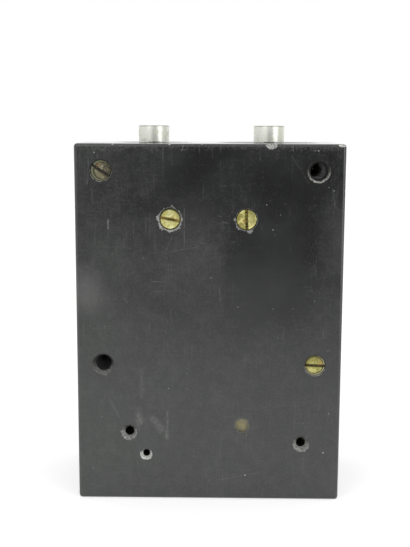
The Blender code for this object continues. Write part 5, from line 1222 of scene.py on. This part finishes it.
tick = block((PIVOT.x, DIAL_FRONT + PRINT / 2, PIVOT.z + ARC), (0.18 * MM, PRINT, 1.0 * MM))
ticks = []
for step in range(51):
    copy = bpy.data.objects.new(f"tick_{step}", tick.data.copy())
    bpy.context.scene.collection.objects.link(copy)
    major = step % 10 == 0
    middling = step % 5 == 0
    reach = 3.0 if major else 2.0 if middling else 1.2
    stretch = Matrix.Diagonal((1.9 if major else 1.0, 1, reach, 1))
    foot = Matrix.Translation((PIVOT.x, 0, PIVOT.z + ARC))
    grown = foot @ Matrix.Translation((0, 0, (reach - 1) / 2 * MM)) @ stretch @ foot.inverted()
    spin = Matrix.Rotation(math.radians(START_ANGLE + SPAN * step / 50), 4, "Y")
    axis = Matrix.Translation(PIVOT)
    copy.data.transform(axis @ spin @ axis.inverted() @ grown)
    ticks.append(copy)
bpy.data.objects.remove(tick)
pick(*ticks)
bpy.ops.object.join()
finish_print(bpy.context.object, "scale_ticks")

numbers = []
for step in range(6):
    deselect()
    bpy.ops.object.text_add()
    text = bpy.context.object
    text.data.body = str(step * 20)
    text.data.size = 3.4 * MM
    text.data.align_x = "CENTER"
    text.data.align_y = "CENTER"
    text.data.extrude = PRINT / 2
    bpy.ops.object.convert(target="MESH")
    angle = START_ANGLE + SPAN * step / 5
    text = bpy.context.object
    upright = Matrix.Rotation(math.pi, 4, "Z") @ Matrix.Rotation(math.pi / 2, 4, "X")
    text.matrix_world = (Matrix.Translation(on_dial(angle, 28.4 * MM))
                         @ Matrix.Rotation(math.radians(angle), 4, "Y") @ upright)
    numbers.append(text)
pick(*numbers)
bpy.ops.object.join()
finish_print(bpy.context.object, "scale_numbers")

# %% [markdown]
# ## The movement
#
# Behind the glass sits the moving coil: a winding on a light frame that turns round a steel core
# between the magnet's pole shoes, held by a brass bridge, with a flat hairspring, a black pointer
# and the zero arm. The frame has all of them in place, so each gets a merged copy with softened
# edges on its own body, and the finish of its own metal.

# %% Finishes of the movement
def wound_wire(name, bright, groove_shade, pitch, along):
    """Turns of wire side by side: bands across one axis, with painted shade in the grooves between them."""
    material, tree = new_material(name)
    place = millimetres(tree)
    turns = (place.axis(along) * (2 * math.pi / pitch)).math("SINE")
    tint = place.noise(0.8, 3.0, 0.6).ramp(0.4, 0.7).blend(bright, darker(bright, 0.6))
    return finished(material, turns.ramp(-1.0, 0.3).blend(groove_shade, tint), 0.35, turns, 0.05, 0.7, Metallic=0.85)


def dull_surface(name, colour, other, roughness, scale):
    """Paper, fibre, paint or cloth: two close tones, and a soft grain."""
    material, tree = new_material(name)
    grain = millimetres(tree).noise(scale, 5.0, 0.65)
    return finished(material, grain.ramp(0.35, 0.65).blend(colour, other), roughness, grain, 0.03, 0.6)


def braided_cover():
    """Cotton braid over a lead: two crossed sets of ribs, with painted shade in the hollows between them."""
    material, tree = new_material("lead_cover")
    one, other = [wire(tree, "TexWave", "Fac", {
        "Vector": millimetres(tree, (1, 1, 1), slope), "Scale": 0.55, "Distortion": 0.6})
        for slope in (0.785, -0.785)]
    braid = one * other
    colour = braid.ramp(0.05, 0.55).blend((0.020, 0.022, 0.018), (0.085, 0.095, 0.060))
    return finished(material, colour, 0.8, braid, 0.12, 0.8)


POINTER_BLACK = dull_surface("pointer_black", (0.014, 0.014, 0.014), (0.030, 0.030, 0.032), 0.45, 2.0)
CELL_CARD = dull_surface("cell_card", (0.30, 0.20, 0.11), (0.22, 0.145, 0.08), 0.75, 0.5)
RED_FIBRE = dull_surface("red_fibre", (0.27, 0.055, 0.035), (0.18, 0.04, 0.03), 0.5, 0.7)
LEAD_COVER = braided_cover()
COIL_WIRE = wound_wire("coil_wire", (0.62, 0.26, 0.12), (0.10, 0.035, 0.02), 0.32, "Y")
SPOOL_WIRE = wound_wire("spool_wire", (0.45, 0.38, 0.26), (0.08, 0.05, 0.03), 0.40, "Z")
FINISH_OF_SLOT = {
    "hard_rubber": PLAIN_RUBBER, "bright_brass": BRASS, "dull_brass": DULL_BRASS, "nickel": NICKEL,
    "steel": STEEL, "magnet_steel": MAGNET, "aluminium": ALUMINIUM, "copper_wire": COIL_WIRE,
    "spring_bronze": BRONZE, "pointer_black": POINTER_BLACK, "cell_card": CELL_CARD,
    "red_fibre": RED_FIBRE, "lead_cover": LEAD_COVER, "dial_card": CARD,
}

# %% Movement pieces on their own bodies
MOVEMENT = [
    ("bridge_front", "front_bridge", "case", 0.10), ("pole_shoe_left", "left_pole_shoe", "case", 0.12),
    ("pole_shoe_right", "right_pole_shoe", "case", 0.12), ("magnet", "bar_magnet", "case", 0.25),
    ("movement_base", "base_plate", "case", 0.15), ("dial_pillar_left", "left_pillar", "case", 0.08),
    ("dial_pillar_right", "right_pillar", "case", 0.08), ("zero_arm", "zero_lever", "zero_arm", 0.06),
    ("pointer", "needle_blade", "needle", 0.0), ("coil_former", "coil_frame", "needle", 0.0),
    ("coil_winding", "coil_turns", "needle", 0.0), ("hairspring_front", "front_hairspring", "needle", 0.0),
    ("hairspring_rear", "rear_hairspring", "needle", 0.0), ("arbor_front", "front_arbor", "needle", 0.0),
    ("balance_weight", "tail_weight", "needle", 0.08),
]
for node, name, body, softness in MOVEMENT:
    carried_over(node, name, FINISH_OF_SLOT[SLOT_OF[node]], body, softness)

low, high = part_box("core")
turned_piece("core", "iron_core", drum(low.y, high.y, high.x, 0.3 * MM, 0.4), STEEL, PIVOT)

# %% [markdown]
# ## Small slotted heads on the dial side
#
# The two dial screws are cheese-headed: a short drum with a softened rim and a slot. The jewel screw
# and the zero screw have a cup and a crank pin that the movement needs, so they keep their shape.

# %% Cheese-headed screws
CHEESE_HEAD = 2.0 * MM
for side in ("left", "right"):
    low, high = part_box(f"dial_screw_{side}")
    centre = (low + high) / 2
    screw = turned(f"{side}_dial_screw", [
        (0.3 * CHEESE_HEAD, high.y), (CHEESE_HEAD - 0.12 * MM, high.y), (CHEESE_HEAD, high.y - 0.12 * MM),
        (CHEESE_HEAD, high.y - 1.0 * MM), (1.0 * MM, high.y - 1.0 * MM), (1.0 * MM, low.y)], centre, "Y", 72)
    screw.data.materials.append(BRASS)
    saw_slot(screw, (centre.x, high.y, centre.z), CHEESE_HEAD, 50, 0.5, 0.5, SLOT_DIRT)
    soften(screw, 0.04)
    finish_piece(screw, f"dial_screw_{side}")

carried_over("jewel_screw_front", "front_jewel_screw", BRASS, "case", 0.08)
carried_over("zero_screw", "zero_adjuster", BRASS, "zero_screw", 0.08)

# %% [markdown]
# ## What stays hidden
#
# The cell, the leads, the nuts and washers keep their frame shapes. Each still gets its own finish,
# because the part may be opened up in an exploded view.

# %% Finishes for the frame's own pieces
# The contacts seen at the bottom of the bores are painted almost black: painted shade that keeps the bores
# dark.
SHADE_DARK_BRONZE = metal("shade_dark_bronze", (0.10, 0.075, 0.05), (0.04, 0.045, 0.03), 0.6)
OWN_FINISH = {"resistor_winding": SPOOL_WIRE, "contact_left": SHADE_DARK_BRONZE, "contact_right": SHADE_DARK_BRONZE}
for name, node in frame["nodes"].items():
    node.data.materials.clear()
    node.data.materials.append(OWN_FINISH.get(name) or FINISH_OF_SLOT.get(SLOT_OF[name]) or CARD)

# %% Size of the scene, printed
low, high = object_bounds()
print("scene box", tuple(round(n, 5) for n in low), tuple(round(n, 5) for n in high))
